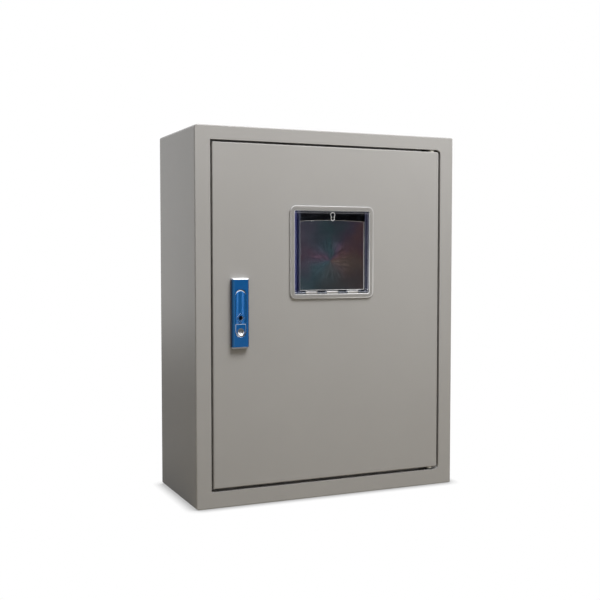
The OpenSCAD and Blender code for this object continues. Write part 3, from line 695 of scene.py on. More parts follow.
@dataclass(frozen=True)
class RimPlastic(Finish):
    """Clear rim of the flap, which leads light to its edges and shows it as thin bands there.

    Attributes:
        tint: Colour of the light that passes, linear.
        shade: Colour that it drifts to.
        half: Half width of the flap.
        painted_side_glow: Where each band of painted glow starts, to the right of the window's middle, and
            its colour.
        painted_top_glow: Where each band of painted glow starts, above the window's middle, and its colour.
    """

    tint: Colour = (0.50, 0.52, 0.58)
    shade: Colour = (0.47, 0.49, 0.55)
    half: float = 0.0673
    painted_side_glow: Stops = (
        (-0.0673, (0.009, 0.010, 0.044)),
        (-0.0640, (0.001, 0.001, 0.012)),
        (-0.0600, (0.022, 0.025, 0.036)),
        (-0.0578, (0.0, 0.0, 0.0)),
        (0.0578, (0.0, 0.0, 0.001)),
        (0.0601, (0.030, 0.030, 0.042)),
        (0.0612, (0.0, 0.0, 0.002)),
        (0.0640, (0.022, 0.022, 0.034)),
        (0.0650, (0.0, 0.0, 0.003)),
    )
    painted_top_glow: Stops = (
        (-0.0673, (0.0, 0.0, 0.0)), (0.0632, (0.11, 0.105, 0.11)), (0.0640, (0.0, 0.0, 0.0))
    )

    def dress(self, graph: Graph) -> None:
        """Gives the shader a clear body with bands of painted glow.

        Args:
            graph: The material's graph.
        """
        _, parts = graph.centred(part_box("window_flap"))
        side = self.painted_glow_field(graph, parts.outputs["X"], self.painted_side_glow)
        top = self.painted_glow_field(graph, parts.outputs["Z"], self.painted_top_glow)
        graph.fill(
            graph.shader, Transmission_Weight=1.0, Roughness=0.04, IOR=PLASTIC_IOR, Emission_Strength=1.0,
            Emission_Color=graph.mix(side, top, kind="ADD"),
        )
        graph.cover(self.tint, self.shade, CLEAR_TEXTURE)

    def painted_glow_field(self, graph: Graph, place: Socket, bands: Stops) -> Socket:
        """Adds stepped bands of painted glow along one direction.

        Args:
            graph: The material's graph.
            place: Distance from the window's middle.
            bands: The start and colour of each band.

        Returns:
            The colour.
        """
        stops = [((start + self.half) / (2.0 * self.half), colour) for start, colour in bands]
        return graph.bands(graph.remap(place, -self.half, self.half), stops, stepped=True)


@dataclass(frozen=True)
class EdgePlastic(Finish):
    """Milky rounded edge of the clear frame, brighter where the light inside it comes out.

    Attributes:
        tint: Colour of the edge, linear.
        glow: Brightness of the painted glow at the right and bottom edges.
        glow_start: Distance to the lower right of the window's middle at which the glow starts.
        glow_full: Distance at which it is full.
    """

    tint: Colour = (0.84, 0.84, 0.85)
    glow: float = 0.2
    glow_start: float = 0.035
    glow_full: float = 0.11

    def dress(self, graph: Graph) -> None:
        """Gives the shader a milky body with a painted glow at the lower right.

        Args:
            graph: The material's graph.
        """
        _, parts = graph.centred(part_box("window_flap"))
        down = graph.calc("SUBTRACT", parts.outputs["X"], parts.outputs["Z"])
        # Mask of the painted glow, which grows towards the lower right.
        light = graph.bands(graph.remap(down, self.glow_start, self.glow_full), [(0.0, 0.0), (1.0, 1.0)])
        graph.fill(
            graph.shader, Transmission_Weight=0.3, Roughness=0.2, IOR=PLASTIC_IOR,
            Emission_Strength=self.glow, Emission_Color=light,
        )
        texture = Texture(patches=60.0, grains=25.0, strength=0.02)
        graph.cover(self.tint, dimmed(self.tint, share=0.95), texture)


@dataclass(frozen=True)
class Soft(Finish):
    """Dull rubber, foam, nylon or a plain pale edge.

    Attributes:
        colour: Main colour, linear.
        roughness: Roughness of the surface.
        grains: Grains per metre.
        glow: Painted glow that the finish adds by itself, a painted highlight on polished slopes and rims in
            the shade of a recess.
    """

    colour: Colour = (0.02, 0.02, 0.022)
    roughness: float = 0.8
    grains: float = 1200.0
    glow: float = 0.0

    def dress(self, graph: Graph) -> None:
        """Gives the shader a dull body.

        Args:
            graph: The material's graph.
        """
        graph.fill(
            graph.shader, Roughness=self.roughness, Emission_Color=(*self.colour, 1.0),
            Emission_Strength=self.glow,
        )
        texture = Texture(patches=40.0, grains=self.grains, strength=0.25)
        graph.cover(self.colour, dimmed(self.colour, share=0.8), texture)


LEVER_BLUE = (0.016, 0.17, 0.52)
FINISHES: Tuple[Finish, ...] = (
    PowderCoat("body_paint"),
    PlatedSteel("galvanised", (0.40, 0.41, 0.42), (0.33, 0.34, 0.35), 0.5, 35.0),
    PlatedSteel("zinc_steel"),
    PlatedSteel("dull_zinc", (0.2, 0.2, 0.19), (0.14, 0.14, 0.135), 0.5, 120.0),
    # Near-black steel for the lock core: painted shade for the recess it sits in.
    PlatedSteel("dark_core", (0.03, 0.035, 0.05), (0.02, 0.022, 0.03), 0.3, 200.0),
    Chrome("chrome"),
    Chrome("satin_chrome", (0.9, 0.9, 0.92), 0.3),
    # Both blue skins carry bands of painted shade at their edges and a painted highlight at the left.
    BlueSkin("blue_skin"),
    BlueSkin("lever_blue", LEVER_BLUE, LEVER_BLUE),
    # The two pale rim finishes below glow: painted highlights on the lock plate, the button's lip and the
    # lever's head slope.
    Soft("pale_painted_highlight", (0.50, 0.55, 0.63), 0.35, 900.0, 0.45),
    Soft("painted_highlight_rim", (0.80, 0.82, 0.88), 0.3, 900.0, 1.2),
    Soft("foam"),
    Soft("nylon", (0.68, 0.66, 0.6), 0.5, 500.0),
    Soft("pale_foam", (0.3, 0.3, 0.29), 0.8),
    Soft("door_foam", (0.028, 0.028, 0.03), 0.85, 1500.0),
    ClearPlastic("clear_plastic"),
    ClearPlastic("frame_plastic", (0.60, 0.585, 0.565), 0.12, 0.5),
    EdgePlastic("edge_plastic_painted_glow"),
    RimPlastic("rim_plastic"),
    PanePlastic("pane_plastic"),
)


class Palette:
    """Makes each finish once and hands out its material."""

    def __init__(self) -> None:
        """Builds the shared effects and lists the finishes."""
        make_grain_effect()
        make_mottle_effect()
        self.finishes: Dict[str, Finish] = {finish.name: finish for finish in FINISHES}
        self.made: Dict[str, bpy.types.Material] = {}

    def get(self, name: str) -> bpy.types.Material:
        """Hands out a finish's material, which is made on first use.

        Args:
            name: The finish's name.

        Returns:
            The material.
        """
        if name not in self.made:
            self.made[name] = self.finishes[name].make()
        return self.made[name]


# ---------------------------------------------------------------- shaping helpers


def level(verts: Sequence[Vert], axis: int, value: float, slack: float = SLACK) -> bool:
    """Says whether every vertex has the given coordinate along an axis, within the slack."""
    return all(abs(v.co[axis] - value) < slack for v in verts)


def mean_of(face: Face, axis: int) -> float:
    """Returns the coordinate of a face's middle along an axis."""
    return face.calc_center_median()[axis]


def bevel(
    shape: Shape, geom: Sequence[object], width: float, segments: int, affect: str = "EDGES",
    clamp: bool = False,
) -> List[Face]:
    """Rounds edges or corners.

    Args:
        shape: The mesh.
        geom: The edges or vertices to round.
        width: Width of the rounding.
        segments: Facets across it.
        affect: "EDGES" or "VERTICES".
        clamp: Whether the width gives way where neighbours would overlap.

    Returns:
        The faces of the rounding.
    """
    return bmesh.ops.bevel(
        shape, geom=geom, offset=width, offset_type="OFFSET", segments=segments, profile=0.5, affect=affect,
        clamp_overlap=clamp, material=-1,
    )["faces"]


def sheet_face(shape: Shape, width: float, height: float, radius: float, y: float) -> Face:
    """Makes one upright face with rounded corners that looks towards -Y.

    Args:
        shape: The mesh that gets the face.
        width: Size along X.
        height: Size along Z.
        radius: Radius of the corners.
        y: Where the face stands.

    Returns:
        The face.
    """
    made = bmesh.ops.create_grid(shape, x_segments=1, y_segments=1, size=0.5)["verts"]
    bmesh.ops.scale(shape, verts=made, vec=(width, height, 1.0))
    bmesh.ops.rotate(shape, verts=made, matrix=UPRIGHT)
    bmesh.ops.translate(shape, verts=made, vec=(0.0, y, 0.0))
    face = made[0].link_faces[0]
    if radius > 0.0:
        bevel(shape, made, radius, segments=8, affect="VERTICES")
        face = max((f for f in shape.faces if level([f.verts[0]], Y, y)), key=lambda f: f.calc_area())
    return face


def push(shape: Shape, faces: Sequence[Face], step: float, keep: bool = False) -> List[Face]:
    """Extrudes faces along Y.

    Args:
        shape: The mesh.
        faces: The faces to extrude.
        step: How far the new faces move.
        keep: Whether the old faces stay as the other side of a new solid.

    Returns:
        The moved faces.
    """
    old = list(faces)
    made = bmesh.ops.extrude_face_region(shape, geom=old, use_keep_orig=keep)["geom"]
    bmesh.ops.translate(shape, verts=[v for v in made if isinstance(v, Vert)], vec=(0.0, step, 0.0))
    if not keep:
        bmesh.ops.delete(shape, geom=[f for f in old if f.is_valid], context="FACES")
    return [f for f in made if isinstance(f, Face)]


def sharp_edges(shape: Shape, degrees: float) -> List[Edge]:
    """Returns the edges at which the surface turns by more than the given angle."""
    limit = math.radians(degrees)
    return [e for e in shape.edges if len(e.link_faces) == 2 and e.calc_face_angle(0.0) > limit]


def soften(shape: Shape, width: float, segments: int = 2, degrees: float = 40.0) -> List[Face]:
    """Rounds the sharp edges of a mesh.

    Args:
        shape: The mesh.
        width: Width of the rounding.
        segments: Facets across it.
        degrees: Edges that turn by more than this are rounded.

    Returns:
        The faces of the rounding.
    """
    return bevel(shape, sharp_edges(shape, degrees), width, segments, clamp=True)


def round_bar(
    shape: Shape, radius: float, length: float, middle: Sequence[float], axis: str, segments: int = 24
) -> List[Vert]:
    """Makes a round bar with closed ends.

    Args:
        shape: The mesh that gets the bar.
        radius: Radius of the bar.
        length: Its length.
        middle: Its middle.
        axis: The axis that it lies along, "X" or "Y".
        segments: Facets round it.

    Returns:
        The new vertices.
    """
    verts = bmesh.ops.create_cone(
        shape, cap_ends=True, segments=segments, radius1=radius, radius2=radius, depth=length
    )["verts"]
    turn = Matrix.Rotation(math.radians(90.0), 3, "Y") if axis == "X" else UPRIGHT
    bmesh.ops.rotate(shape, verts=verts, matrix=turn)
    bmesh.ops.translate(shape, verts=verts, vec=middle)
    return verts


def threaded_bar(
    shape: Shape, radius: float, low: Vector, high: Vector, pitch: float = 0.001, depth: float = 0.61
) -> None:
    """Makes a threaded stud along Y, with its thread as a row of ridges.

    Args:
        shape: The mesh that gets the stud.
        radius: Radius over the thread.
        low: Lowest corner of its box.
        high: Highest corner of its box.
        pitch: Distance from one ridge to the next.
        depth: Depth of the thread, as a share of the pitch.
    """
    middle = (low + high) / 2.0
    length = high.y - low.y
    turns = max(round(length / pitch), 2)
    verts = round_bar(shape, radius, length, middle, "Y", segments=20)
    long_edges = [
        e for e in edges_of(verts)
        if abs(e.verts[0].co.y - e.verts[1].co.y) > length / 2.0
    ]
    bmesh.ops.subdivide_edges(shape, edges=long_edges, cuts=2 * turns - 1, use_grid_fill=True)
    root = 1.0 - depth * pitch / radius
    step = length / (2.0 * turns)
    # The mesh may hold other studs, which stand further off than this.
    reach = 1.5 * radius
    for v in shape.verts:
        mine = max(abs(v.co.x - middle.x), abs(v.co.z - middle.z)) <= reach
        if mine and round((v.co.y - low.y) / step) % 2 == 0:
            v.co.x = middle.x + root * (v.co.x - middle.x)
            v.co.z = middle.z + root * (v.co.z - middle.z)


def block(shape: Shape, low: Sequence[float], high: Sequence[float]) -> List[Vert]:
    """Makes a block.

    Args:
        shape: The mesh that gets the block.
        low: Its lowest corner.
        high: Its highest corner.

    Returns:
        The new vertices.
    """
    verts = bmesh.ops.create_cube(shape, size=1.0)["verts"]
    bmesh.ops.scale(shape, verts=verts, vec=[b - a for a, b in zip(low, high)])
    bmesh.ops.translate(shape, verts=verts, vec=[(a + b) / 2.0 for a, b in zip(low, high)])
    return verts


def edges_of(verts: Sequence[Vert]) -> List[Edge]:
    """Returns the edges that meet at some vertices, each once and in a fixed order."""
    return list(dict.fromkeys(e for v in verts for e in v.link_edges))


def outward(shape: Shape) -> None:
    """Merges doubles and turns every face outwards."""
    bmesh.ops.remove_doubles(shape, verts=shape.verts, dist=SLACK)
    bmesh.ops.recalc_face_normals(shape, faces=shape.faces)


def slot_of(node: str) -> str:
    """Returns the material slot that the record gives to a node."""
    return next(entry["material_slot"] for entry in frame["record"]["subparts"] if entry["node"] == node)


@dataclass
class Workshop:
    """Turns meshes into finished pieces of the object.

    Attributes:
        palette: The palette that dresses the pieces.
        merge: Vertices of a carried-over mesh that are closer than this are merged.
        flat: Faces that turn by less than this, in degrees, are made one.
    """

    palette: Palette
    merge: float = 2e-6
    flat: float = 0.6

    def piece(
        self, name: str, shape: Shape, body: Body, finishes: Sequence[str], nodes: Sequence[str] = (),
        slot: Optional[str] = None, smooth: float = 35.0,
    ) -> None:
        """Makes an object from a mesh, dresses it and hands it to its body.

        Args:
            name: The piece's name.
            shape: Its mesh, in the shared frame, which is freed here.
            body: The body that it rides on.
            finishes: Names of its finishes, in the order of the mesh's material numbers.
            nodes: The carried-over nodes that it stands for.
            slot: The slot that it takes its finish from, if not the first finish; not used.
            smooth: Edges that turn by less than this, in degrees, are shaded smooth.
        """
        mesh = bpy.data.meshes.new(name)
        shape.to_mesh(mesh)
        shape.free()
        for finish in finishes:
            mesh.materials.append(self.palette.get(finish))
        mesh.shade_smooth()
        mesh.set_sharp_from_angle(angle=math.radians(smooth))
        made = bpy.data.objects.new(name, mesh)
        bpy.context.scene.collection.objects.link(made)
        made.modifiers.new("flat_faces", "WEIGHTED_NORMAL").keep_sharp = True
        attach(made, body.value)
        if nodes:
            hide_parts(*nodes)
        LOG.info("%s: %d faces on %s", name, len(mesh.polygons), body.value)

    def carried(self, node: str) -> Shape:
        """Copies a carried-over node's mesh, merges it and makes its flat faces whole.

        Args:
            node: The node.

        Returns:
            The copy.
        """
        shape = bmesh.new()
        shape.from_mesh(frame["nodes"][node].data)
        bmesh.ops.remove_doubles(shape, verts=shape.verts, dist=self.merge)
        bmesh.ops.dissolve_limit(
            shape, angle_limit=math.radians(self.flat), verts=shape.verts, edges=shape.edges
        )
        return shape

    def rounded(
        self, name: str, node: str, body: Body, finish: str, width: float, degrees: float = 40.0
    ) -> None:
        """Makes a copy of a carried-over node with its sharp edges rounded, which stands for the node.

        Args:
            name: The piece's name.
            node: The node.
            body: The body that it rides on.
            finish: Its finish.
            width: Width of the rounding.
            degrees: Edges that turn by more than this are rounded.
        """
        shape = self.carried(node)
        soften(shape, width, degrees=degrees)
        self.piece(name, shape, body, [finish], [node], slot_of(node))

    def solids(self, node: str) -> List[Tuple[Vector, Vector]]:
        """Finds the separate solids of a node.

        Args:
            node: The node.

        Returns:
            The lowest and highest corner of each, in a fixed order.
        """
        shape = self.carried(node)
        left = set(shape.verts)
        boxes = []
        while left:
            reached = [left.pop()]
            solid = list(reached)
            while reached:
                near = {e.other_vert(v) for v in reached for e in v.link_edges} & left
                left -= near
                solid += near
                reached = list(near)
            boxes.append(
                [Vector([pick(v.co[axis] for v in solid) for axis in (X, Y, Z)]) for pick in (min, max)]
            )
        shape.free()
        return sorted(boxes, key=lambda box: tuple(round(c, 4) for c in box[0]))


# ---------------------------------------------------------------- window


@dataclass
class Window:
    """The clear window in the door: frame, seal and hinged flap with its finger loop.

    Attributes:
        shop: The workshop that finishes the pieces.
        flange: Width of the frame's flange.
        flange_thickness: Thickness of the flange.
        corner: Radius of the frame's corners.
        wall: Wall of the frame's throat.
        rounding: Radius of the bead round the flange.
        lug_width: Width of each hinge lug.
        lug_pitch: Spacing of the lugs.
        lug_crown: Rounding of a lug's top, as a share of the barrel's radius.
        lug_edge: Rounding of a lug's other edges.
        barrel: Radius of the hinge barrel.
        barrel_short: How far the barrel stays inside each end of the flap.
        notch_rise: How far the notches for the lugs reach above the pin.
        gap: Gap beside the lugs.
        flap_thickness: Thickness of the flap's sheet.
        flap_edge: Rounding of the flap's edges.
        skirt: Wall of the skirt behind the flap.
        skirt_inset: How far the skirt stays inside the flap's edge.
        pane_recess: How far the pane lies behind the flap's face.
        pane_side: Width of the rim beside the pane.
        pane_top: Width of the rim above the ends of the pane's top edge.
        pane_bottom: Width of the rim below the pane.
        pane_rise: Rise of the arch in the pane's top edge.
        loop_wire: Radius of the finger loop's wire.
        loop_flat: How much deeper than wide the wire is.
        loop_bulb: Radius of the loop's lower bulb.
        loop_mouth: Half of the angle at which the head and the bulb open to each other, in degrees.
        seal_edge: Rounding of the seal's edges.
    """

    shop: Workshop
    flange: float = 0.0075
    flange_thickness: float = 0.002
    corner: float = 0.010
    wall: float = 0.002
    rounding: float = 0.0009
    lug_width: float = 0.020
    lug_pitch: float = 0.0375
    lug_crown: float = 0.95
    lug_edge: float = 0.0002
    barrel: float = 0.002
    barrel_short: float = 0.0021
    notch_rise: float = 0.0035
    gap: float = 0.0004
    flap_thickness: float = 0.0024
    flap_edge: float = 0.00035
    skirt: float = 0.0016
    skirt_inset: float = 0.001
    pane_recess: float = 0.0008
    pane_side: float = 0.0095
    pane_top: float = 0.017
    pane_bottom: float = 0.006
    pane_rise: float = 0.002
    loop_wire: float = 0.0006
    loop_flat: float = 1.25
    loop_bulb: float = 0.0031
    loop_mouth: float = 31.0
    seal_edge: float = 0.0003

    def __post_init__(self) -> None:
        """Reads the window's place from the carried-over frame, flap and pin."""
        low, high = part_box("window_frame")
        self.size = high.x - low.x
        self.mid = Vector(((low.x + high.x) / 2.0, 0.0, (low.z + high.z) / 2.0))
        self.front = low.y
        self.back = high.y
        low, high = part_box("window_flap")
        self.flap_size = high.x - low.x
        self.flap_front = low.y
        self.skirt_back = high.y
        self.flap_back = low.y + self.flap_thickness
        low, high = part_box("flap_pin")
        self.hinge = (low + high) / 2.0
        self.notch = self.lug_width / 2.0 + self.gap

    def build(self) -> None:
        """Builds every piece of the window."""
        self.build_frame()
        self.build_lugs()
        self.build_flap()
        self.build_loop()
        self.build_seal()

    def build_frame(self) -> None:
        """Builds the frame: a flange with a rounded bead and a throat through the door."""
        shape = bmesh.new()
        plane = self.front + self.flange_thickness
        face = sheet_face(shape, self.size, self.size, self.corner, plane)
        flange, throat = [
            bmesh.ops.inset_region(
                shape, faces=[face], thickness=step, use_even_offset=True, use_boundary=True
            )["faces"]
            for step in (self.flange - self.wall, self.wall)
        ]
        bmesh.ops.delete(shape, geom=[face], context="FACES_ONLY")
        push(shape, flange + throat, -self.flange_thickness, keep=True)
        push(shape, throat, self.back - plane)
        outward(shape)
        # The bead takes the milky edge finish, a painted highlight along the flange's rim.
        for made in soften(shape, self.rounding, segments=3, degrees=50.0):
            made.material_index = 1
        bmesh.ops.translate(shape, verts=shape.verts, vec=self.mid)
        self.shop.piece(
            "frame_bead", shape, Body.DOOR, ["frame_plastic", "edge_plastic_painted_glow"], ["window_frame"],
            "clear_plastic",
        )

    def build_lugs(self) -> None:
        """Builds the three lugs that hold the flap's pin, each rounded over the barrel."""
        shape = bmesh.new()
        hinge = self.hinge
        floor = self.mid.z - self.size / 2.0 + self.flange
        for number in (-1, 0, 1):
            middle = self.mid.x + number * self.lug_pitch
            verts = block(
                shape,
                (middle - self.lug_width / 2.0, hinge.y - self.barrel, floor),
                (middle + self.lug_width / 2.0, hinge.y + self.barrel, hinge.z + self.barrel),
            )
            top = max(v.co.z for v in verts)
            crown = [
                e for e in edges_of(verts)
                if level(e.verts, Z, top) and abs(e.verts[0].co.x - e.verts[1].co.x) > TINY
            ]
            bevel(shape, crown, self.lug_crown * self.barrel, segments=6)
        soften(shape, self.lug_edge, degrees=60.0)
        # The lugs' upper faces take the milky edge finish, a painted highlight on their tops.
        for f in shape.faces:
            f.material_index = 1 if mean_of(f, Z) > hinge.z + 0.5 * self.barrel else 0
        self.shop.piece(
            "hinge_lugs", shape, Body.DOOR, ["frame_plastic", "edge_plastic_painted_glow"], slot="clear_plastic"
        )

    def build_flap(self) -> None:
        """Builds the flap: a plate with a recessed pane, a skirt on three sides and the barrel."""
        shape = bmesh.new()
        half = self.flap_size / 2.0
        hinge_z = self.hinge.z - self.mid.z
        skirt_foot = hinge_z + 2.0 * self.barrel
        outer = half - self.skirt_inset
        inner = outer - self.skirt
        pane_x = half - self.pane_side
        pane_low = -half + self.pane_bottom
        pane_high = half - self.pane_top
        notch_top = hinge_z + self.notch_rise
        sheet_face(shape, self.flap_size, self.flap_size, 0.0, self.flap_back)
        cuts = [outer, inner, pane_x, half - self.barrel_short]
        cuts += [
            c + s * self.notch for c in (0.0, self.lug_pitch) for s in (-1, 1) if c + s * self.notch > 0.0
        ]
        for place in cuts:
            for side in (-1.0, 1.0):
                self.cut(shape, (side * place, 0.0, 0.0), (1.0, 0.0, 0.0))
        for place in (outer, inner, pane_high, pane_low, notch_top, skirt_foot, hinge_z):
            self.cut(shape, (0.0, 0.0, place), (0.0, 0.0, 1.0))
        spare = [f for f in shape.faces if self.in_notch(f, notch_top, hinge_z)]
        bmesh.ops.delete(shape, geom=spare, context="FACES")
        back = list(shape.faces)
        front = push(shape, back, self.flap_front - self.flap_back, keep=True)
        walls = [f for f in back if self.in_skirt(f, inner, skirt_foot)]
        push(shape, walls, self.skirt_back - self.flap_back)
        self.recess_pane(shape, [f for f in front if f.is_valid], pane_x, pane_low, pane_high)
        outward(shape)
        # The rounded edges take the milky edge finish as painted highlight lines.
        for made in soften(shape, self.flap_edge, degrees=60.0):
            made.material_index = 1
        for start, end in self.barrel_spans():
            verts = round_bar(
                shape, self.barrel, end - start, ((start + end) / 2.0, self.hinge.y, hinge_z), "X"
            )
            for f in {f for v in verts for f in v.link_faces}:
                f.material_index = 0
        bmesh.ops.translate(shape, verts=shape.verts, vec=self.mid)
        # The rim and pane finishes emit painted glow.
        self.shop.piece(
            "flap_plate", shape, Body.FLAP, ["rim_plastic", "edge_plastic_painted_glow", "pane_plastic"], ["window_flap"],
            "clear_plastic", smooth=20.0,
        )

    def cut(self, shape: Shape, place: Sequence[float], normal: Sequence[float]) -> None:
        """Cuts every face along a plane without removing anything.

        Args:
            shape: The mesh.
            place: A point of the plane.
            normal: The plane's normal.
        """
        bmesh.ops.bisect_plane(
            shape, geom=list(shape.verts) + list(shape.edges) + list(shape.faces), dist=1e-8,
            plane_co=place, plane_no=normal,
        )

    def in_notch(self, face: Face, top: float, bottom: float) -> bool:
        """Says whether a face of the flap's sheet is cut away.

        Args:
            face: The face.
            top: Height of the notches' top.
            bottom: Height of the hinge.

        Returns:
            Whether it lies in a lug's notch, past the barrel's end or below the hinge.
        """
        middle = face.calc_center_median()
        near = min(abs(middle.x - n * self.lug_pitch) for n in (-1, 0, 1))
        past_end = abs(middle.x) > self.flap_size / 2.0 - self.barrel_short
        return middle.z < bottom or (middle.z < top and (near < self.notch or past_end))

    def in_skirt(self, face: Face, inner: float, bottom: float) -> bool:
        """Says whether a face of the flap's back carries the skirt.

        Args:
            face: The face.
            inner: Half width between the skirt's inner sides.
            bottom: Height of the skirt's foot.

        Returns:
            Whether it does.
        """
        middle = face.calc_center_median()
        outer = inner + self.skirt
        if middle.z < bottom or abs(middle.x) > outer or middle.z > outer:
            return False
        return abs(middle.x) > inner or middle.z > inner

    def recess_pane(self, shape: Shape, front: List[Face], side: float, low: float, high: float) -> None:
        """Sinks the pane into the front of the flap and arches its top edge.

        Args:
            shape: The flap's mesh.
            front: The faces of its front.
            side: Half width of the pane.
            low: Height of the pane's bottom edge.
            high: Height of the ends of its top edge.
        """
        parts = [f for f in front if abs(mean_of(f, X)) < side and low < mean_of(f, Z) < high]
        bmesh.ops.dissolve_faces(shape, faces=parts)
        pane = [
            f for f in shape.faces
            if abs(mean_of(f, Y) - self.flap_front) < SLACK and abs(mean_of(f, X)) < TINY
            and low < mean_of(f, Z) < high and f.calc_area() > side * side
        ]
        top = [e for f in pane for e in f.edges if level(e.verts, Z, high)]
        bmesh.ops.subdivide_edges(shape, edges=top, cuts=5)
        for v in {v for f in pane for v in f.verts if level([v], Z, high)}:
            v.co.z += self.pane_rise * (1.0 - (v.co.x / side) ** 2)
        for f in push(shape, pane, self.pane_recess):
            f.material_index = 2

    def barrel_spans(self) -> List[Tuple[float, float]]:
        """Lists the stretches of the hinge barrel beside and between the lugs.

        Returns:
            The start and end of each along X.
        """
        first, second, third = self.notch, self.lug_pitch - self.notch, self.lug_pitch + self.notch
        end = self.flap_size / 2.0 - self.barrel_short
        return [(-end, -third), (-second, -first), (first, second), (third, end)]

    def build_loop(self) -> None:
        """Builds the keyhole-shaped finger loop: a wide head over a smaller bulb, in one round wire."""
        shape = bmesh.new()
        low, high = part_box("flap_catch")
        middle = (low.x + high.x) / 2.0
        head = (high.x - low.x) / 2.0 - self.loop_wire
        bulb = self.loop_bulb
        plane = high.y - self.loop_flat * self.loop_wire
        mouth = math.radians(self.loop_mouth)
        first, second = self.wire_arc(
            shape, (middle, plane, high.z - head - self.loop_wire), head, mouth - math.pi / 2.0, mouth
        )
        third, fourth = self.wire_arc(
            shape, (middle, plane, low.z + bulb + self.loop_wire), bulb, mouth + math.pi / 2.0, mouth
        )
        bmesh.ops.bridge_loops(shape, edges=first + fourth)
        bmesh.ops.bridge_loops(shape, edges=second + third)
        outward(shape)
        self.shop.piece("finger_loop", shape, Body.FLAP, ["edge_plastic_painted_glow"], ["flap_catch"], "clear_plastic")

    def wire_arc(
        self, shape: Shape, centre: Sequence[float], radius: float, start: float, mouth: float
    ) -> Tuple[List[Edge], List[Edge]]:
        """Makes an open arc of round wire in an upright plane.

        Args:
            shape: The loop's mesh.
            centre: Centre of the arc.
            radius: Radius of the arc.
            start: Angle at which the arc starts, from +X towards +Z.
            mouth: Half of the angle that stays open.

        Returns:
            The edges of the first ring and of the last.
        """
        verts = bmesh.ops.create_circle(shape, segments=10, radius=self.loop_wire)["verts"]
        bmesh.ops.scale(shape, verts=verts, vec=(1.0, self.loop_flat, 1.0))
        bmesh.ops.translate(shape, verts=verts, vec=(radius, 0.0, 0.0))
        bmesh.ops.rotate(shape, verts=verts, matrix=Matrix.Rotation(-start, 3, "Y"))
        bmesh.ops.translate(shape, verts=verts, vec=centre)
        first = edges_of(verts)
        made = bmesh.ops.spin(
            shape, geom=verts + first, cent=centre, axis=(0.0, -1.0, 0.0), angle=2.0 * (math.pi - mouth),
            steps=22,
        )["geom_last"]
        return first, [e for e in made if isinstance(e, Edge)]

    def build_seal(self) -> None:
        """Builds the thin foam seal under the frame's flange."""
        shape = self.shop.carried("window_seal")
        soften(shape, self.seal_edge, degrees=50.0)
        self.shop.piece("frame_seal", shape, Body.DOOR, ["pale_foam"], ["window_seal"], "foam")


# ---------------------------------------------------------------- sheet metal and seal


@dataclass
class Enclosure:
    """The painted sheets, the inner plate and the door's foam seal.

    Attributes:
        shop: The workshop that finishes the pieces.
        sheet_edge: Rounding of the sheets' cut edges.
        seal_crown: Rounding that crowns the foam.
    """

    shop: Workshop
    sheet_edge: float = 0.00025
    seal_crown: float = 0.0011

    def build(self) -> None:
        """Builds the front frame, the door leaf, the inner plate and the seal."""
        for name, node, body, finish in (
            ("front_border", "front_frame", Body.CABINET, "body_paint"),
            ("door_leaf", "door_panel", Body.DOOR, "body_paint"),
            ("inner_plate", "mounting_plate", Body.CABINET, "galvanised"),
        ):
            self.shop.rounded(name, node, body, finish, self.sheet_edge, degrees=50.0)
        self.build_seal()

    def build_seal(self) -> None:
        """Builds the foam seal with its crowned face towards the door stop."""
        shape = self.shop.carried("door_gasket")
        back = max(v.co.y for v in shape.verts)
        rim = [e for e in sharp_edges(shape, 50.0) if level(e.verts, Y, back, CARRIED_SLACK)]
        bevel(shape, rim, self.seal_crown, segments=5, clamp=True)
        self.shop.piece("door_seal", shape, Body.DOOR, ["door_foam"], ["door_gasket"], "foam")


# ---------------------------------------------------------------- handle


